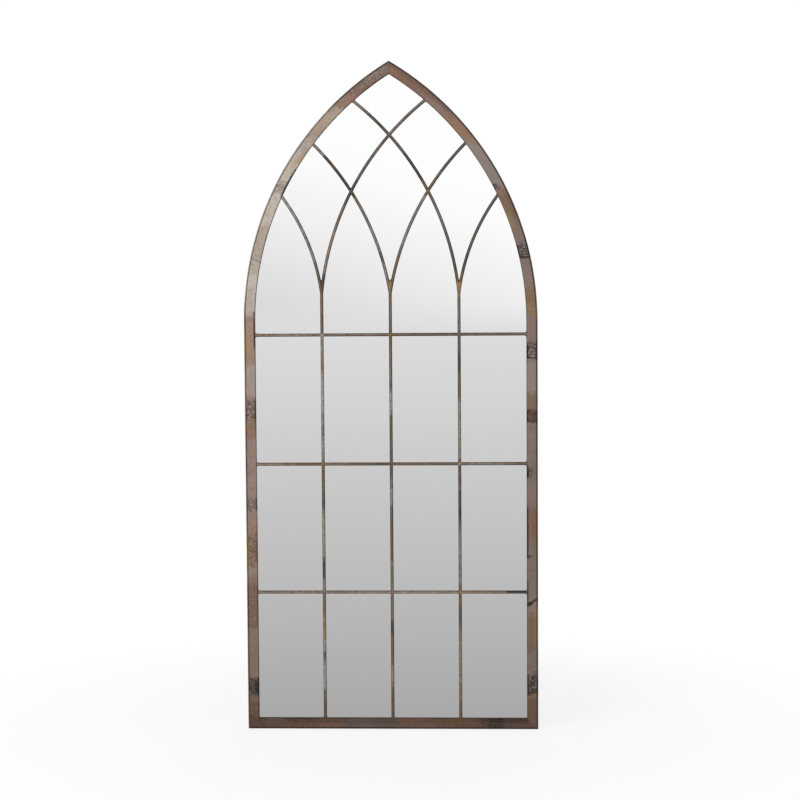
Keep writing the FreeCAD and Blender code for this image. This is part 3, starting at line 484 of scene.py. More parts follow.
# Finish of each glazing bar, in the same way
BAR_FINISH = {
    "left_mullion": (TAUPE, BROWN, "Z", [
        Patch(UMBER, 0.896, 1.000, 0.75),
        Patch(RUST, 0.966, 1.000, 0.55),
        Patch(SOOT, 0.970, 1.000, 0.25),
        Patch(PEWTER, 0.852, 0.892, 0.70),
        Patch(OCHRE, 0.806, 0.852, 0.55),
        Patch(STONE, 0.714, 0.806, 0.90),
        Patch(STONE, 0.746, 0.780, 0.95),
        Patch(PEWTER, 0.608, 0.714, 0.90),
        Patch(STONE, 0.640, 0.668, 0.40),
        Patch(SLATE, 0.670, 0.690, 0.70),
        Patch(BRONZE, 0.545, 0.608, 0.98),
        Patch(SOOT, 0.506, 0.545, 0.70),
        Patch(ASH, 0.390, 0.496, 0.58),
        Patch(SOOT, 0.346, 0.386, 0.90),
        Patch(ASH, 0.312, 0.344, 0.40),
        Patch(BRONZE, 0.262, 0.300, 0.60),
        Patch(GOLD, 0.204, 0.262, 0.90),
        Patch(STONE, 0.180, 0.204, 0.75),
        Patch(SLATE, 0.160, 0.180, 0.60),
        Patch(STONE, 0.090, 0.156, 0.88),
        Patch(UMBER, 0.020, 0.076, 0.85),
        Patch(RUST, 0.020, 0.060, 0.30),
        Patch(SOOT, 0.020, 0.064, 0.50),
    ]),
    "centre_mullion": (TAUPE, BROWN, "Z", [
        Patch(BRONZE, 0.965, 1.000, 0.70),
        Patch(SMOKE, 0.914, 0.965, 0.60),
        Patch(SLATE, 0.914, 0.936, 0.40),
        Patch(BRONZE, 0.870, 0.914, 0.95),
        Patch(SOOT, 0.870, 0.914, 0.25),
        Patch(UMBER, 0.815, 0.870, 0.65),
        Patch(SOOT, 0.774, 0.796, 0.70, speckled=True),
        Patch(ASH, 0.714, 0.770, 0.75),
        Patch(BRONZE, 0.650, 0.714, 0.98),
        Patch(SOOT, 0.650, 0.712, 0.18),
        Patch(UMBER, 0.570, 0.650, 0.90),
        Patch(SOOT, 0.570, 0.630, 0.20),
        Patch(PEWTER, 0.508, 0.552, 0.75),
        Patch(SLATE, 0.478, 0.506, 0.90),
        Patch(BRONZE, 0.388, 0.478, 0.95),
        Patch(RUST, 0.400, 0.464, 0.30, speckled=True),
        Patch(SOOT, 0.388, 0.478, 0.26),
        Patch(SMOKE, 0.250, 0.372, 0.75),
        Patch(SOOT, 0.212, 0.246, 1.00),
        Patch(BRONZE, 0.140, 0.214, 0.85),
        Patch(TAN, 0.112, 0.138, 0.55),
        Patch(UMBER, 0.020, 0.096, 0.90),
        Patch(SOOT, 0.020, 0.080, 0.18),
    ]),
    "right_mullion": (TAUPE, BROWN, "Z", [
        Patch(OCHRE, 0.972, 1.000, 0.70),
        Patch(SMOKE, 0.898, 0.972, 0.85),
        Patch(UMBER, 0.752, 0.898, 0.95),
        Patch(SLATE, 0.852, 0.898, 0.35),
        Patch(SOOT, 0.812, 0.854, 0.98),
        Patch(BRONZE, 0.762, 0.808, 0.70),
        Patch(ASH, 0.612, 0.750, 0.55),
        Patch(UMBER, 0.546, 0.594, 0.90),
        Patch(SOOT, 0.470, 0.540, 0.72),
        Patch(SOOT, 0.472, 0.510, 0.98),
        Patch(SOOT, 0.484, 0.508, 0.80),
        Patch(ASH, 0.330, 0.452, 0.45),
        Patch(SMOKE, 0.342, 0.388, 0.55),
        Patch(BRONZE, 0.284, 0.322, 0.75),
        Patch(UMBER, 0.236, 0.286, 0.95),
        Patch(SOOT, 0.238, 0.276, 0.30),
        Patch(ASH, 0.100, 0.222, 0.40),
        Patch(UMBER, 0.020, 0.070, 0.85),
    ]),
    "upper_transom": (MAUVE, BROWN, "X", [
        Patch(OCHRE, -0.310, -0.276, 0.65),
        Patch(DRAB, -0.264, -0.190, 0.60),
        Patch(BRONZE, -0.024, 0.030, 0.85),
        Patch(UMBER, 0.030, 0.170, 0.80),
        Patch(UMBER, 0.170, 0.270, 0.40),
    ]),
    "middle_transom": (MAUVE, BROWN, "X", [
        Patch(DRAB, -0.310, -0.240, 0.50),
        Patch(BRONZE, -0.210, -0.158, 0.95),
        Patch(UMBER, -0.104, -0.044, 0.60),
        Patch(SOOT, -0.040, 0.006, 0.55),
        Patch(UMBER, 0.010, 0.150, 0.40),
        Patch(PEWTER, 0.166, 0.250, 0.50),
        Patch(UMBER, 0.274, 0.310, 0.70),
    ]),
    "lower_transom": (DRAB, MAUVE, "X", [
        Patch(MAUVE, -0.310, -0.270, 0.60),
        Patch(SMOKE, -0.182, -0.106, 0.45),
        Patch(ASH, -0.078, 0.104, 0.35),
        Patch(OCHRE, 0.146, 0.212, 0.60),
        Patch(SOOT, 0.256, 0.310, 1.00),
        Patch(SOOT, 0.272, 0.310, 0.60),
    ]),
    "left_outer_tracery": (PEWTER, SMOKE, "Z", [
        Patch(UMBER, 0.980, 1.030, 0.95),
        Patch(SLATE, 1.030, 1.056, 0.65),
        Patch(SLATE, 1.078, 1.105, 0.40),
        Patch(ASH, 1.156, 1.200, 0.45),
    ]),
    "right_outer_tracery": (SMOKE, SLATE, "Z", [
        Patch(BRONZE, 0.980, 1.024, 0.80),
        Patch(OCHRE, 0.980, 1.004, 0.85),
        Patch(UMBER, 1.024, 1.080, 0.95),
        Patch(SOOT, 1.032, 1.080, 0.80),
        Patch(SLATE, 1.080, 1.200, 0.80),
    ]),
    "left_centre_tracery": (PEWTER, SMOKE, "Z", [
        Patch(BRONZE, 0.980, 1.030, 0.50),
        Patch(SLATE, 1.030, 1.134, 0.22),
        Patch(UMBER, 1.054, 1.080, 0.95),
        Patch(SOOT, 1.056, 1.078, 0.40),
        Patch(SMOKE, 1.134, 1.200, 0.85),
        Patch(UMBER, 1.194, 1.290, 0.98),
        Patch(SOOT, 1.202, 1.286, 1.00),
        Patch(SOOT, 1.212, 1.286, 0.95),
        Patch(RUST, 1.262, 1.274, 0.30, soft=0.003),
        Patch(SLATE, 1.290, 1.340, 0.20),
    ]),
    "right_centre_tracery": (PEWTER, SMOKE, "Z", [
        Patch(BRONZE, 0.980, 1.080, 0.98),
        Patch(SOOT, 0.980, 1.030, 0.25),
        Patch(SMOKE, 1.106, 1.184, 0.55),
        Patch(BRONZE, 1.208, 1.236, 0.95),
        Patch(SOOT, 1.212, 1.234, 0.25),
        Patch(SLATE, 1.236, 1.340, 0.95),
        Patch(SOOT, 1.260, 1.340, 0.32),
    ]),
    "left_long_tracery": (SMOKE, SLATE, "Z", [
        Patch(BRONZE, 0.980, 1.024, 0.80),
        Patch(OCHRE, 0.980, 1.004, 0.85),
        Patch(UMBER, 1.024, 1.086, 0.95),
        Patch(SOOT, 1.030, 1.086, 0.60),
        Patch(RUST, 1.060, 1.076, 0.20, soft=0.003),
        Patch(SLATE, 1.086, 1.204, 0.45),
        Patch(PEWTER, 1.126, 1.186, 0.30),
        Patch(BRONZE, 1.204, 1.236, 0.95),
        Patch(UMBER, 1.236, 1.294, 0.98),
        Patch(SOOT, 1.238, 1.292, 0.95),
        Patch(SOOT, 1.244, 1.290, 0.60),
        Patch(SLATE, 1.296, 1.334, 0.60),
        Patch(TAN, 1.392, 1.430, 0.35),
        Patch(UMBER, 1.334, 1.390, 0.85),
        Patch(SOOT, 1.338, 1.388, 0.40),
    ]),
    "right_long_tracery": (MAUVE, BROWN, "Z", [
        Patch(UMBER, 0.980, 1.028, 0.95),
        Patch(SOOT, 0.990, 1.026, 0.80),
        Patch(DRAB, 1.034, 1.130, 0.55),
        Patch(UMBER, 1.186, 1.238, 0.95),
        Patch(SOOT, 1.190, 1.236, 0.85),
        Patch(SMOKE, 1.238, 1.316, 0.90),
        Patch(SLATE, 1.238, 1.290, 0.65),
        Patch(SLATE, 1.316, 1.340, 0.98),
        Patch(SMOKE, 1.366, 1.440, 0.75),
        Patch(SLATE, 1.366, 1.400, 0.30),
    ]),
}


def layer_patches(graph, place, colour, run, across, patches):
    """Lay each patch over a colour; a speckled one shows in spots and along the face's two edges."""
    cloud = graph.noise(place, 95.0, 4.0, 0.6)
    fleck = graph.noise(place, 330.0, 4.0, 0.7)
    spots = graph.group(SPECKLE, Place=place)["Mask"]
    body = graph.ramp(fleck, 0.28, 0.60, 0.60, 1.0)
    to_edge = graph.ramp(graph.math("ABSOLUTE", across), 0.58, 0.84, 0.10, 1.0)
    spotted = graph.math("MAXIMUM", spots, to_edge)
    for patch in patches:
        mask = graph.group(
            PATCH, Run=run, Across=across, Cloud=cloud, From=patch.low, To=patch.high,
            Low_Edge=patch.low_edge, High_Edge=patch.high_edge, Slant=patch.slant, Side=float(patch.side),
        )["Mask"]
        cover = graph.math("MULTIPLY", spotted if patch.speckled else body, patch.share)
        colour = graph.blend(graph.math("MULTIPLY", mask, cover), colour, patch.colour)
    return colour


# Depths behind the front: where patches begin and end fading round the side, and where the dirt in the
# joint between face and band stops
FADE_START = 0.003
FADE_END = 0.018
DIRT_START = 0.001
DIRT_END = 0.002


def aged_face(name, light, dark, axis, patches):
    """Patinated strip: mottled ground, patches along it that fade round the side, painted shade along the
    inner edge, and dirt in the joint between face and band."""
    material, graph, shader, place = new_material(f"{name} patina")
    ground = graph.group(GROUND, Place=place, Light=light, Dark=dark, Stain=0.35)
    axes = graph.node("ShaderNodeSeparateXYZ", {0: place}).outputs
    run = axes[axis]
    across = graph.group(FACE_POSITION, Place=place)["Across"]
    patched = layer_patches(graph, place, ground["Colour"], run, across, patches)
    wrapped = graph.ramp(axes["Y"], FRONT + FADE_START, FRONT + FADE_END, 1.0, 0.35)
    colour = graph.blend(wrapped, ground["Colour"], patched)
    frayed = graph.math("MULTIPLY", graph.math("SUBTRACT", graph.noise(place, 160.0, 4.0), 0.5), 0.16)
    edge = graph.math("ADD", across, frayed)
    # Painted shade: the face darkens towards its inner edge, beside the mirror
    colour = graph.blend(graph.ramp(edge, 0.84, 0.98, 0.0, 0.80), colour, SOOT)
    joint = 1 - 2 * BAND_THICKNESS / FACE_WIDTH
    from_joint = graph.math("ABSOLUTE", graph.math("ADD", edge, joint))
    on_front = graph.ramp(axes["Y"], FRONT + DIRT_START, FRONT + DIRT_END, 1.0, 0.0)
    dirt_and_shade = graph.math("MULTIPLY", graph.ramp(from_joint, 0.03, 0.12, 0.80, 0.0), on_front)
    colour = graph.blend(dirt_and_shade, colour, SOOT)
    coat(graph, shader, colour, ground["Roughness"], PATINA)
    bump(graph, shader, ground["Height"], 0.35, 0.0006)
    return material


def aged_bar(name, light, dark, axis, patches):
    """Patinated half-round: coloured lengths under grime, a painted highlight along the crown, and
    painted shade down both sides.
    """
    material, graph, shader, place = new_material(f"{name} patina")
    ground = graph.group(GROUND, Place=place, Light=light, Dark=dark, Stain=0.55)
    run = graph.node("ShaderNodeSeparateXYZ", {0: place}).outputs[axis]
    colour = layer_patches(graph, place, ground["Colour"], run, 0.0, patches)
    grime = graph.ramp(graph.noise(place, 130.0, 4.0, 0.6), 0.36, 0.64, 0.12, 0.50)
    colour = graph.blend(grime, colour, SOOT)
    facing = graph.node("ShaderNodeTexCoord").outputs["Normal"]
    crown = graph.math("MULTIPLY", graph.node("ShaderNodeSeparateXYZ", {0: facing}).outputs["Y"], -1.0)
    # Painted shade: the half-round darkens down both sides as its surface turns away from the front
    dirt_and_shade = graph.ramp(crown, 0.50, 0.96, 0.92, 0.0)
    colour = graph.blend(dirt_and_shade, colour, SOOT)
    # Painted highlight along the crown, broken up by the patina's height
    crown_highlight = graph.math("MULTIPLY", graph.ramp(crown, 0.88, 1.0, 0.0, 0.30), ground["Height"])
    colour = graph.blend(crown_highlight, colour, TAN)
    coat(graph, shader, colour, ground["Roughness"], PATINA)
    bump(graph, shader, ground["Height"], 0.45, 0.0006)
    return material


def weld_metal(name, light, dark):
    """Lumpy weld under the patina, darker in its hollows."""
    material, graph, shader, place = new_material(name)
    ground = graph.group(GROUND, Place=place, Light=light, Dark=dark, Stain=0.45)
    lumps = graph.noise(place, 700.0, 3.0, 0.6)
    colour = graph.blend(graph.ramp(lumps, 0.30, 0.48, 0.5, 0.0), ground["Colour"], UMBER)
    coat(graph, shader, colour, ground["Roughness"], PATINA)
    bump(graph, shader, lumps, 0.6, 0.0008)
    return material


def silvered_glass():
    """Mirror: clear silvering with a faint haze of dust that thickens a little in clouds."""
    material, graph, shader, place = new_material("silvered glass")
    cloud = graph.noise(place, 5.0, 5.0, 0.6)
    dust = graph.ramp(graph.noise(place, 900.0, 2.0), 0.66, 0.80)
    haze = graph.math("MULTIPLY", dust, graph.ramp(cloud, 0.35, 0.75, 0.02, 0.10))
    colour = graph.blend(haze, paint(254, 254, 254), paint(222, 220, 216))
    coat(graph, shader, colour, graph.ramp(cloud, 0.3, 0.7, 0.012, 0.030), BARE_METAL)
    return material


def pressed_board():
    """Hardboard: matted fibres, darker chips, and a slightly polished skin."""
    material, graph, shader, place = new_material("pressed board")
    fibres = graph.noise(graph.stretched(place, 260.0, 260.0, 700.0), 1.0, 5.0, 0.7)
    mat = graph.noise(graph.stretched(place, 620.0, 300.0, 210.0), 1.0, 5.0, 0.7)
    cloud = graph.noise(place, 7.0, 3.0)
    colour = graph.blend(graph.ramp(fibres, 0.35, 0.65), paint(122, 88, 60), paint(96, 66, 44))
    colour = graph.blend(graph.ramp(mat, 0.56, 0.70, 0.0, 0.7), colour, paint(150, 114, 80))
    chips = graph.ramp(graph.noise(place, 160.0, 3.0), 0.64, 0.72, 0.0, 0.6)
    colour = graph.blend(chips, colour, paint(66, 46, 32))
    colour = graph.blend(graph.ramp(cloud, 0.4, 0.7, 0.0, 0.3), colour, paint(140, 106, 76))
    coat(graph, shader, colour, graph.ramp(mat, 0.3, 0.7, 0.48, 0.68))
    bump(graph, shader, fibres, 0.25, 0.0004)
    return material


def zinc_plate():
    """Zinc plating: bright steel under faint crystal spangle, rubbing scratches and dull stains."""
    material, graph, shader, place = new_material("zinc plate")
    spangle = graph.cells(place, 420.0)
    scratches = graph.noise(graph.stretched(place, 1900.0, 1900.0, 90.0), 1.0, 3.0, 0.6)
    stain = graph.noise(place, 110.0, 4.0, 0.6)
    colour = graph.blend(graph.ramp(spangle, 0.1, 0.7), paint(196, 198, 200), paint(172, 175, 178))
    colour = graph.blend(graph.ramp(stain, 0.52, 0.70, 0.0, 0.55), colour, paint(140, 136, 126))
    colour = graph.blend(graph.ramp(scratches, 0.62, 0.70, 0.0, 0.4), colour, paint(226, 227, 228))
    coat(graph, shader, colour, graph.ramp(stain, 0.35, 0.7, 0.24, 0.48), BARE_METAL)
    bump(graph, shader, scratches, 0.15, 0.0003)
    return material


def post_steel():
    """Welded steel posts: dull grey with brown heat colour and light rust."""
    material, graph, shader, place = new_material("post steel")
    heat = graph.noise(place, 210.0, 4.0, 0.6)
    colour = graph.blend(graph.ramp(heat, 0.4, 0.65), paint(112, 108, 104), paint(92, 74, 62))
    spots = graph.ramp(graph.noise(place, 800.0, 3.0, 0.7), 0.58, 0.70, 0.0, 0.7)
    colour = graph.blend(spots, colour, RUST)
    coat(graph, shader, colour, graph.ramp(heat, 0.3, 0.7, 0.42, 0.66), HALF_RUSTED)
    bump(graph, shader, heat, 0.3, 0.0004)
    return material


def cellular_foam():
    """Grey foam tape: small open cells and pale dust."""
    material, graph, shader, place = new_material("cellular foam")
    cells = graph.cells(place, 1700.0)
    dust = graph.noise(place, 120.0, 4.0)
    colour = graph.blend(graph.ramp(cells, 0.1, 0.5), paint(34, 34, 36), paint(66, 66, 68))
    colour = graph.blend(graph.ramp(dust, 0.55, 0.75, 0.0, 0.3), colour, paint(120, 116, 110))
    coat(graph, shader, colour, graph.ramp(dust, 0.3, 0.7, 0.82, 0.95))
    bump(graph, shader, cells, 0.4, 0.0004)
    return material


def block_rubber():
    """Black rubber setting blocks, bloomed grey in places."""
    material, graph, shader, place = new_material("block rubber")
    bloom = graph.noise(place, 140.0, 5.0, 0.65)
    grain = graph.noise(place, 1800.0, 2.0)
    colour = graph.blend(graph.ramp(bloom, 0.42, 0.72), paint(30, 30, 31), paint(72, 71, 70))
    coat(graph, shader, colour, graph.ramp(bloom, 0.3, 0.7, 0.58, 0.80))
    bump(graph, shader, grain, 0.25, 0.0003)
    return material


def dress(node, material):
    """Give a carried-over node its material."""
    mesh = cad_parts[node].data
    mesh.materials.clear()
    mesh.materials.append(material)


def dress_frame():
    """Every carried-over node in its own finish."""
    for name, finish in (FRAME_FINISH | BAND_FINISH).items():
        dress(name, aged_face(name, *finish))
    for name, finish in BAR_FINISH.items():
        dress(name, aged_bar(name, *finish))
    zinc = zinc_plate()
    post = post_steel()
    dress("mirror_glass", silvered_glass())
    dress("backing_board", pressed_board())
    dress("glazing_tape", cellular_foam())
    dress("setting_blocks", block_rubber())
    for name in ("clip_posts", "hanger_posts"):
        dress(name, post)
    zinc_starts = ("turn_button_", "clip_screws", "hanger_screws", "left_hanger_", "right_hanger_")
    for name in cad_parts:
        if name.startswith(zinc_starts):
            dress(name, zinc)


# Welds

# Half length, half width and height of the beads
CROSSING_BEAD = (0.0052, 0.0048, 0.0040)
TRANSOM_END_BEAD = (0.0036, 0.0056, 0.0030)
FOOT_BEAD = (0.0056, 0.0036, 0.0030)
LANDING_BEAD = (0.0030, 0.0044, 0.0031)
# Turn of a crossing's bead, in radians times its number
CROSSING_TURN = 0.6
# Ground weld lines: width, height, how far they stop short of an edge, and the first one's seed
SEAM_WIDTH = 0.0020
SEAM_HEIGHT = 0.0002
SEAM_STOP = 0.0022
SEAM_SEED = 90
# Webs: where they start and end above the fork, how far they stand proud of the bars' crowns, the depth
# of the notch in their upper edge, and the share of the way to the bars' middle lines that they fill
WEB_FOOT = 0.002
WEB_CROTCH = 0.034
WEB_PROUD = 0.0001
WEB_NOTCH = 0.006
WEB_REACH = 0.86


def loft(name, rings, material):
    """A closed skin through rings of points, capped at both ends, riding on the frame.

    Rings are an array of ring, point and place; each cap is a fan to the middle of its ring."""
    rings = np.asarray(rings, dtype=float)
    count, around, _ = rings.shape
    caps = rings[[0, -1]].mean(axis=1)
    points = np.concatenate([rings.reshape(-1, 3), caps])
    ring = np.arange(count - 1)[:, None] * around
    here = np.arange(around)[None, :]
    after = (here + 1) % around
    sides = np.stack([ring + here, ring + after, ring + around + after, ring + around + here], axis=-1)
    last = (count - 1) * around
    first_cap = np.stack([np.full(around, count * around), after[0], here[0]], axis=-1)
    last_cap = np.stack([np.full(around, count * around + 1), last + here[0], last + after[0]], axis=-1)
    mesh = bpy.data.meshes.new(name)
    faces = sides.reshape(-1, 4).tolist() + first_cap.tolist() + last_cap.tolist()
    mesh.from_pydata(points.tolist(), [], faces)
    mesh.shade_smooth()
    mesh.materials.append(material)
    piece = bpy.data.objects.new(name, mesh)
    bpy.context.scene.collection.objects.link(piece)
    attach(piece, "frame")


def bead(name, x, z, size, angle, seed, material):
    """A flattened lump on the plane of the bars' backs, facing the front: rings shrink as the cosine and
    rise as the sine from just below that plane to nearly a quarter turn, with a few low waves round the
    rim so that no two are alike."""
    along, across, height = size
    sunk = -0.35
    crown = 0.49 * math.pi
    waviness = 0.09
    rise = np.linspace(sunk, crown, 12)[:, None]
    turn = np.linspace(0, 2 * math.pi, 28, endpoint=False)[None, :]
    rng = np.random.default_rng(seed)
    phases = rng.uniform(0, 2 * math.pi, 3)
    waves = sum(waviness / (k + 1) * np.cos((k + 2) * turn + phases[k]) for k in range(3))
    spread = np.cos(rise) * (1 + waves)
    u = along * spread * np.cos(turn)
    v = across * spread * np.sin(turn)
    out = height * np.sin(rise) * (1 + 0.5 * waves)
    points = np.stack([
        x + u * math.cos(angle) - v * math.sin(angle),
        BAR_BACK - out,
        z + u * math.sin(angle) + v * math.cos(angle),
    ], axis=-1)
    loft(name, points, material)


def seam(name, start, end, seed, material):
    """A ground weld line on the frame's face: flat elliptic rings along a straight line, which ripple as
    a quick wave times a slow one and close in at both ends."""
    along = np.linspace(0, 1, 60)[:, None]
    turn = np.linspace(0, 2 * math.pi, 16, endpoint=False)[None, :]
    rng = np.random.default_rng(seed)
    quick_wave = np.sin(along * 46 + rng.uniform(0, 6))
    slow_wave = np.cos(along * 17 + rng.uniform(0, 6))
    ripple = 0.75 + 0.25 * quick_wave * slow_wave
    taper = np.sqrt(np.clip(1 - (2 * along - 1) ** 8, 0.02, 1))
    start = np.array(start)
    end = np.array(end)
    direction = (end - start) / np.linalg.norm(end - start)
    sideways = np.array([-direction[1], direction[0]])
    half = SEAM_WIDTH / 2 * ripple * taper
    x = start[0] + (end[0] - start[0]) * along + sideways[0] * half * np.cos(turn)
    z = start[1] + (end[1] - start[1]) * along + sideways[1] * half * np.cos(turn)
    y = FRONT - SEAM_HEIGHT * ripple * taper * np.sin(turn)
    loft(name, np.stack([x, y, z], axis=-1), material)


def tracery_line(kind, side, heights):
    """How far a tracery bar's centre line stands from its fork, at heights above the fork.

    The line is an arc that leans out of the fork and lands on the sight line of the arch."""
    lean, share = TRACERY[kind]
    lean = math.radians(lean)
    landing = share * SIGHT_SWEEP
    step = list(TRACERY).index(kind) - 1
    pitch = MULLION_X[2] - MULLION_X[1]
    reach = SIGHT_RADIUS * math.cos(landing) - ARCH_CENTRE - step * pitch
    climb = SPRING_HEIGHT + SIGHT_RADIUS * math.sin(landing) - FORK_HEIGHT
    bend = (reach ** 2 + climb ** 2) / (reach * math.cos(lean) - climb * math.sin(lean)) / 2
    rise = heights + bend * math.sin(lean)
    return side * (bend * math.cos(lean) - np.sqrt(bend ** 2 - rise ** 2))


def landing_point(kind, side):
    """Where a tracery bar meets the sight line, and the angle of the frame's edge there."""
    angle = TRACERY[kind][1] * SIGHT_SWEEP
    x = side * (SIGHT_RADIUS * math.cos(angle) - ARCH_CENTRE)
    z = SPRING_HEIGHT + SIGHT_RADIUS * math.sin(angle)
    return x, z, math.atan2(math.sin(angle), side * math.cos(angle))


def fork_web(name, x, left_kind, right_kind, swell, material):
    """Weld run into the valley of a fork: rings across it climb from the foot to the crotch, from one
    bar's crown to the other's, sagging between them as a parabola. A swell, in bar radii, fills the sag
    and spreads the rings over the bars as a half sine up the climb; their edges fall steeply back."""
    heights = np.linspace(WEB_FOOT, WEB_CROTCH, 20)
    left = tracery_line(left_kind, -1, heights)[:, None]
    right = tracery_line(right_kind, 1, heights)[:, None]
    share = np.linspace(-1, 1, 15)[None, :]
    hollow = 1 - share ** 2
    climb = ((heights - heights[0]) / (heights[-1] - heights[0]))[:, None]
    fullness = np.sin(math.pi * climb)
    spread = swell * BAR_RADIUS * fullness
    front_x = (left + right) / 2 + ((right - left) / 2 * WEB_REACH + spread) * share
    sag = BAR_RADIUS * (0.12 + 0.75 * climb ** 3) * hollow * (1 - min(swell, 1) * fullness)
    fall = spread * (0.70 * np.abs(share) ** 5 - 0.10 * hollow)
    front_y = BAR_CROWN - WEB_PROUD + sag + fall
    z = FORK_HEIGHT + heights[:, None] - WEB_NOTCH * climb * hollow
    front = np.stack([x + front_x, front_y, z], axis=-1)
    back = front[:, ::-1].copy()
    back[..., 1] = BAR_BACK
    loft(name, np.concatenate([front, back], axis=1), material)


def make_welds():
    """Beads at crossings, transom ends, feet and landings, webs in the forks, lines over the mitres."""
    pale = weld_metal("weld pale", PINK, TAUPE)
    dull = weld_metal("weld dull", MAUVE, UMBER)
    rusty = weld_metal("weld rusty", RUST, UMBER)
    tawny = weld_metal("weld tawny", OCHRE, OLIVE)
    ground_line = weld_metal("ground weld", BROWN, UMBER)
    grimy_line = weld_metal("grimy weld", UMBER, SLATE)
    crossings = {
        "lower_transom": (dull, dull, tawny),
        "middle_transom": (tawny, dull, pale),
        "upper_transom": (pale, tawny, dull),
    }
    seed = 0
    for transom, z in zip(TRANSOMS, TRANSOM_Z):
        for column, (x, metal) in enumerate(zip(MULLION_X, crossings[transom])):
            seed += 1
            bead(f"weld_{transom}_{column}", x, z, CROSSING_BEAD, CROSSING_TURN * seed, seed, metal)
        for side_name, side in SIDES.items():
            seed += 1
            bead(f"weld_{transom}_{side_name}", side * SIGHT_HALF, z, TRANSOM_END_BEAD, 0.0, seed, dull)
    for column, x in enumerate(MULLION_X):
        seed += 1
        bead(f"weld_foot_{column}", x, FACE_WIDTH, FOOT_BEAD, 0.0, seed, dull)
    for side_name, side in SIDES.items():
        for kind in TRACERY:
            seed += 1
            x, z, angle = landing_point(kind, side)
            metal = pale if kind == "centre" else dull
            bead(f"weld_{side_name}_{kind}", x, z, LANDING_BEAD, angle, seed, metal)
    fork_web("web_left", MULLION_X[0], "outer", "long", 0.0, rusty)
    fork_web("web_centre", MULLION_X[1], "centre", "centre", 0.6, tawny)
    fork_web("web_right", MULLION_X[2], "long", "outer", 1.2, tawny)
    inner_apex = SPRING_HEIGHT + math.sqrt(SIGHT_RADIUS ** 2 - ARCH_CENTRE ** 2)
    foot = (HALF_WIDTH - SEAM_STOP, SEAM_STOP)
    corner = (SIGHT_HALF + SEAM_STOP, FACE_WIDTH - SEAM_STOP)
    lines = {
        "seam_bottom_left": ((-foot[0], foot[1]), (-corner[0], corner[1]), grimy_line),
        "seam_bottom_right": (foot, corner, ground_line),
        "seam_apex": ((0.0, inner_apex + SEAM_STOP), (0.0, TOP - 2 * SEAM_STOP), ground_line),
    }
    for seed, (name, (start, end, metal)) in enumerate(lines.items(), SEAM_SEED):
        seam(name, start, end, seed, metal)


# Stage

def make_floor():
    """A pale floor that fades into the white round it and keeps a soft shadow near the object."""
    mesh = bpy.data.meshes.new("floor")
    reach = 8.0
    corners = [(-reach, -reach, 0), (reach, -reach, 0), (reach, reach, 0), (-reach, reach, 0)]
    mesh.from_pydata(corners, [], [(0, 1, 2, 3)])
    floor = bpy.data.objects.new("floor", mesh)
    bpy.context.scene.collection.objects.link(floor)
    floor.visible_glossy = False
    material = bpy.data.materials.new("pale floor")
    material.use_nodes = True
    graph = Graph(material.node_tree)
    material.node_tree.nodes.clear()
    place = graph.node("ShaderNodeTexCoord").outputs["Object"]
    distance = graph.node("ShaderNodeVectorMath", {0: place}, operation="LENGTH").outputs["Value"]
    shadow_start = 0.35
    shadow_end = 1.3
    shadowed = graph.ramp(distance, shadow_start, shadow_end, 0.20, 0.0)
    seen = graph.node("ShaderNodeLightPath").outputs["Is Camera Ray"]
    glow = graph.math("MULTIPLY", seen, graph.math("SUBTRACT", 1.0, shadowed))
    matte = graph.node("ShaderNodeBsdfDiffuse", {"Color": paint(240, 240, 240)}).outputs[0]
    white = graph.node("ShaderNodeEmission", {"Color": (1, 1, 1, 1), "Strength": 1.0}).outputs[0]
    mixed = graph.node("ShaderNodeMixShader", {0: glow, 1: matte, 2: white}).outputs[0]
    graph.node("ShaderNodeOutputMaterial", {"Surface": mixed})
    mesh.materials.append(material)


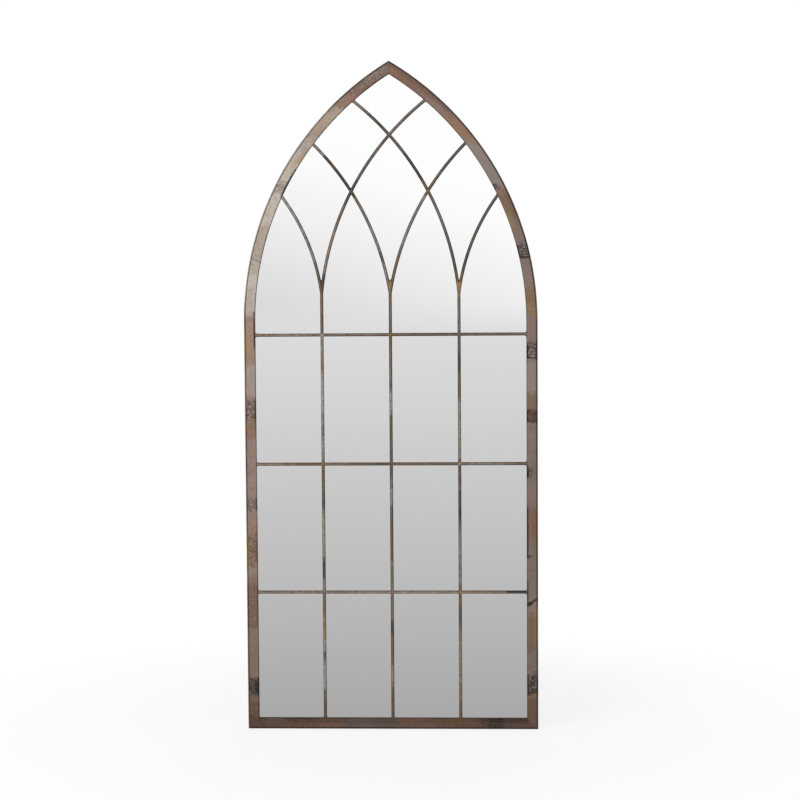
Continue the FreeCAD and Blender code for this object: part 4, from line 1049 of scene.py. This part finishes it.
def make_world():
    """White to the camera, a soft even light on the object, and to anything shiny a room that is
    white above and grey towards the floor, with a horizon that leans a little towards one side."""
    world = bpy.data.worlds.new("studio")
    bpy.context.scene.world = world
    world.use_nodes = True
    graph = Graph(world.node_tree)
    world.node_tree.nodes.clear()
    direction = graph.node("ShaderNodeTexCoord").outputs["Generated"]
    heading = graph.node("ShaderNodeSeparateXYZ", {0: direction}).outputs
    lean_from = -0.125
    lean_to = 0.040
    level_at = -0.045
    slope = 0.33
    sideways = graph.math("MINIMUM", graph.math("MAXIMUM", heading["X"], lean_from), lean_to)
    lean = graph.math("MULTIPLY", graph.math("SUBTRACT", sideways, level_at), slope)
    tilt = graph.math("MULTIPLY", lean, graph.ramp(heading["Z"], -0.035, -0.010))
    climb = graph.math("MULTIPLY", graph.math("ADD", heading["Z"], tilt), 2.0)
    room = graph.node("ShaderNodeValToRGB", {"Fac": graph.math("ADD", climb, 0.5)})
    stops = {0.0: 0.36, 0.06: 0.41, 0.30: 0.60, 0.44: 0.72, 0.52: 0.86, 0.60: 0.98, 0.66: 1.0}
    marks = room.color_ramp.elements
    for position in list(stops)[len(marks):]:
        marks.new(position)
    for mark, (position, grey) in zip(marks, stops.items()):
        mark.position = position
        mark.color = (grey, grey, grey, 1.0)
    path = graph.node("ShaderNodeLightPath").outputs
    soft_grey = (0.46, 0.46, 0.46, 1.0)
    white = (1.0, 1.0, 1.0, 1.0)
    even = graph.blend(path["Is Camera Ray"], soft_grey, white)
    colour = graph.blend(path["Is Glossy Ray"], even, room.outputs["Color"])
    background = graph.node("ShaderNodeBackground", {"Color": colour, "Strength": 1.0}).outputs[0]
    graph.node("ShaderNodeOutputWorld", {"Surface": background})


def make_lamp(name, place, target, size, power, mirrored):
    """A square soft box aimed at a point, which may be kept out of the mirror."""
    lamp = bpy.data.lights.new(name, "AREA")
    lamp.shape = "SQUARE"
    lamp.size = size
    lamp.energy = power
    holder = bpy.data.objects.new(name, lamp)
    bpy.context.scene.collection.objects.link(holder)
    holder.location = place
    holder.visible_glossy = mirrored
    aim = np.array(target) - np.array(place)
    level = math.hypot(aim[0], aim[1])
    holder.rotation_euler = (math.atan2(level, -aim[2]), 0.0, math.atan2(-aim[0], aim[1]))


def make_camera():
    """The photograph's view: its place, turn and lens as fitted to the frame's outline."""
    camera = bpy.data.cameras.new("camera")
    camera.sensor_width = 36.0
    camera.lens = 85.0
    camera.clip_end = 100.0
    holder = bpy.data.objects.new("camera", camera)
    bpy.context.scene.collection.objects.link(holder)
    place = (0.1822, -4.2437, 1.0179)
    turn_degrees = (86.3226, 0.3701, 2.1707)
    holder.location = place
    holder.rotation_euler = [math.radians(turn) for turn in turn_degrees]
    bpy.context.scene.camera = holder


dress_frame()
make_welds()
make_floor()
make_world()
make_lamp("key", place=(-1.6, -2.3, 2.3), target=(0.0, 0.0, 0.9), size=1.6, power=55.0, mirrored=False)
make_lamp("fill", place=(2.2, -2.6, 1.6), target=(0.0, 0.0, 0.8), size=2.0, power=8.0, mirrored=False)
make_lamp("back", place=(0.4, 2.6, 2.0), target=(0.0, 0.0, 0.8), size=2.0, power=24.0, mirrored=True)
make_camera()
bpy.context.scene.view_settings.view_transform = "Standard"
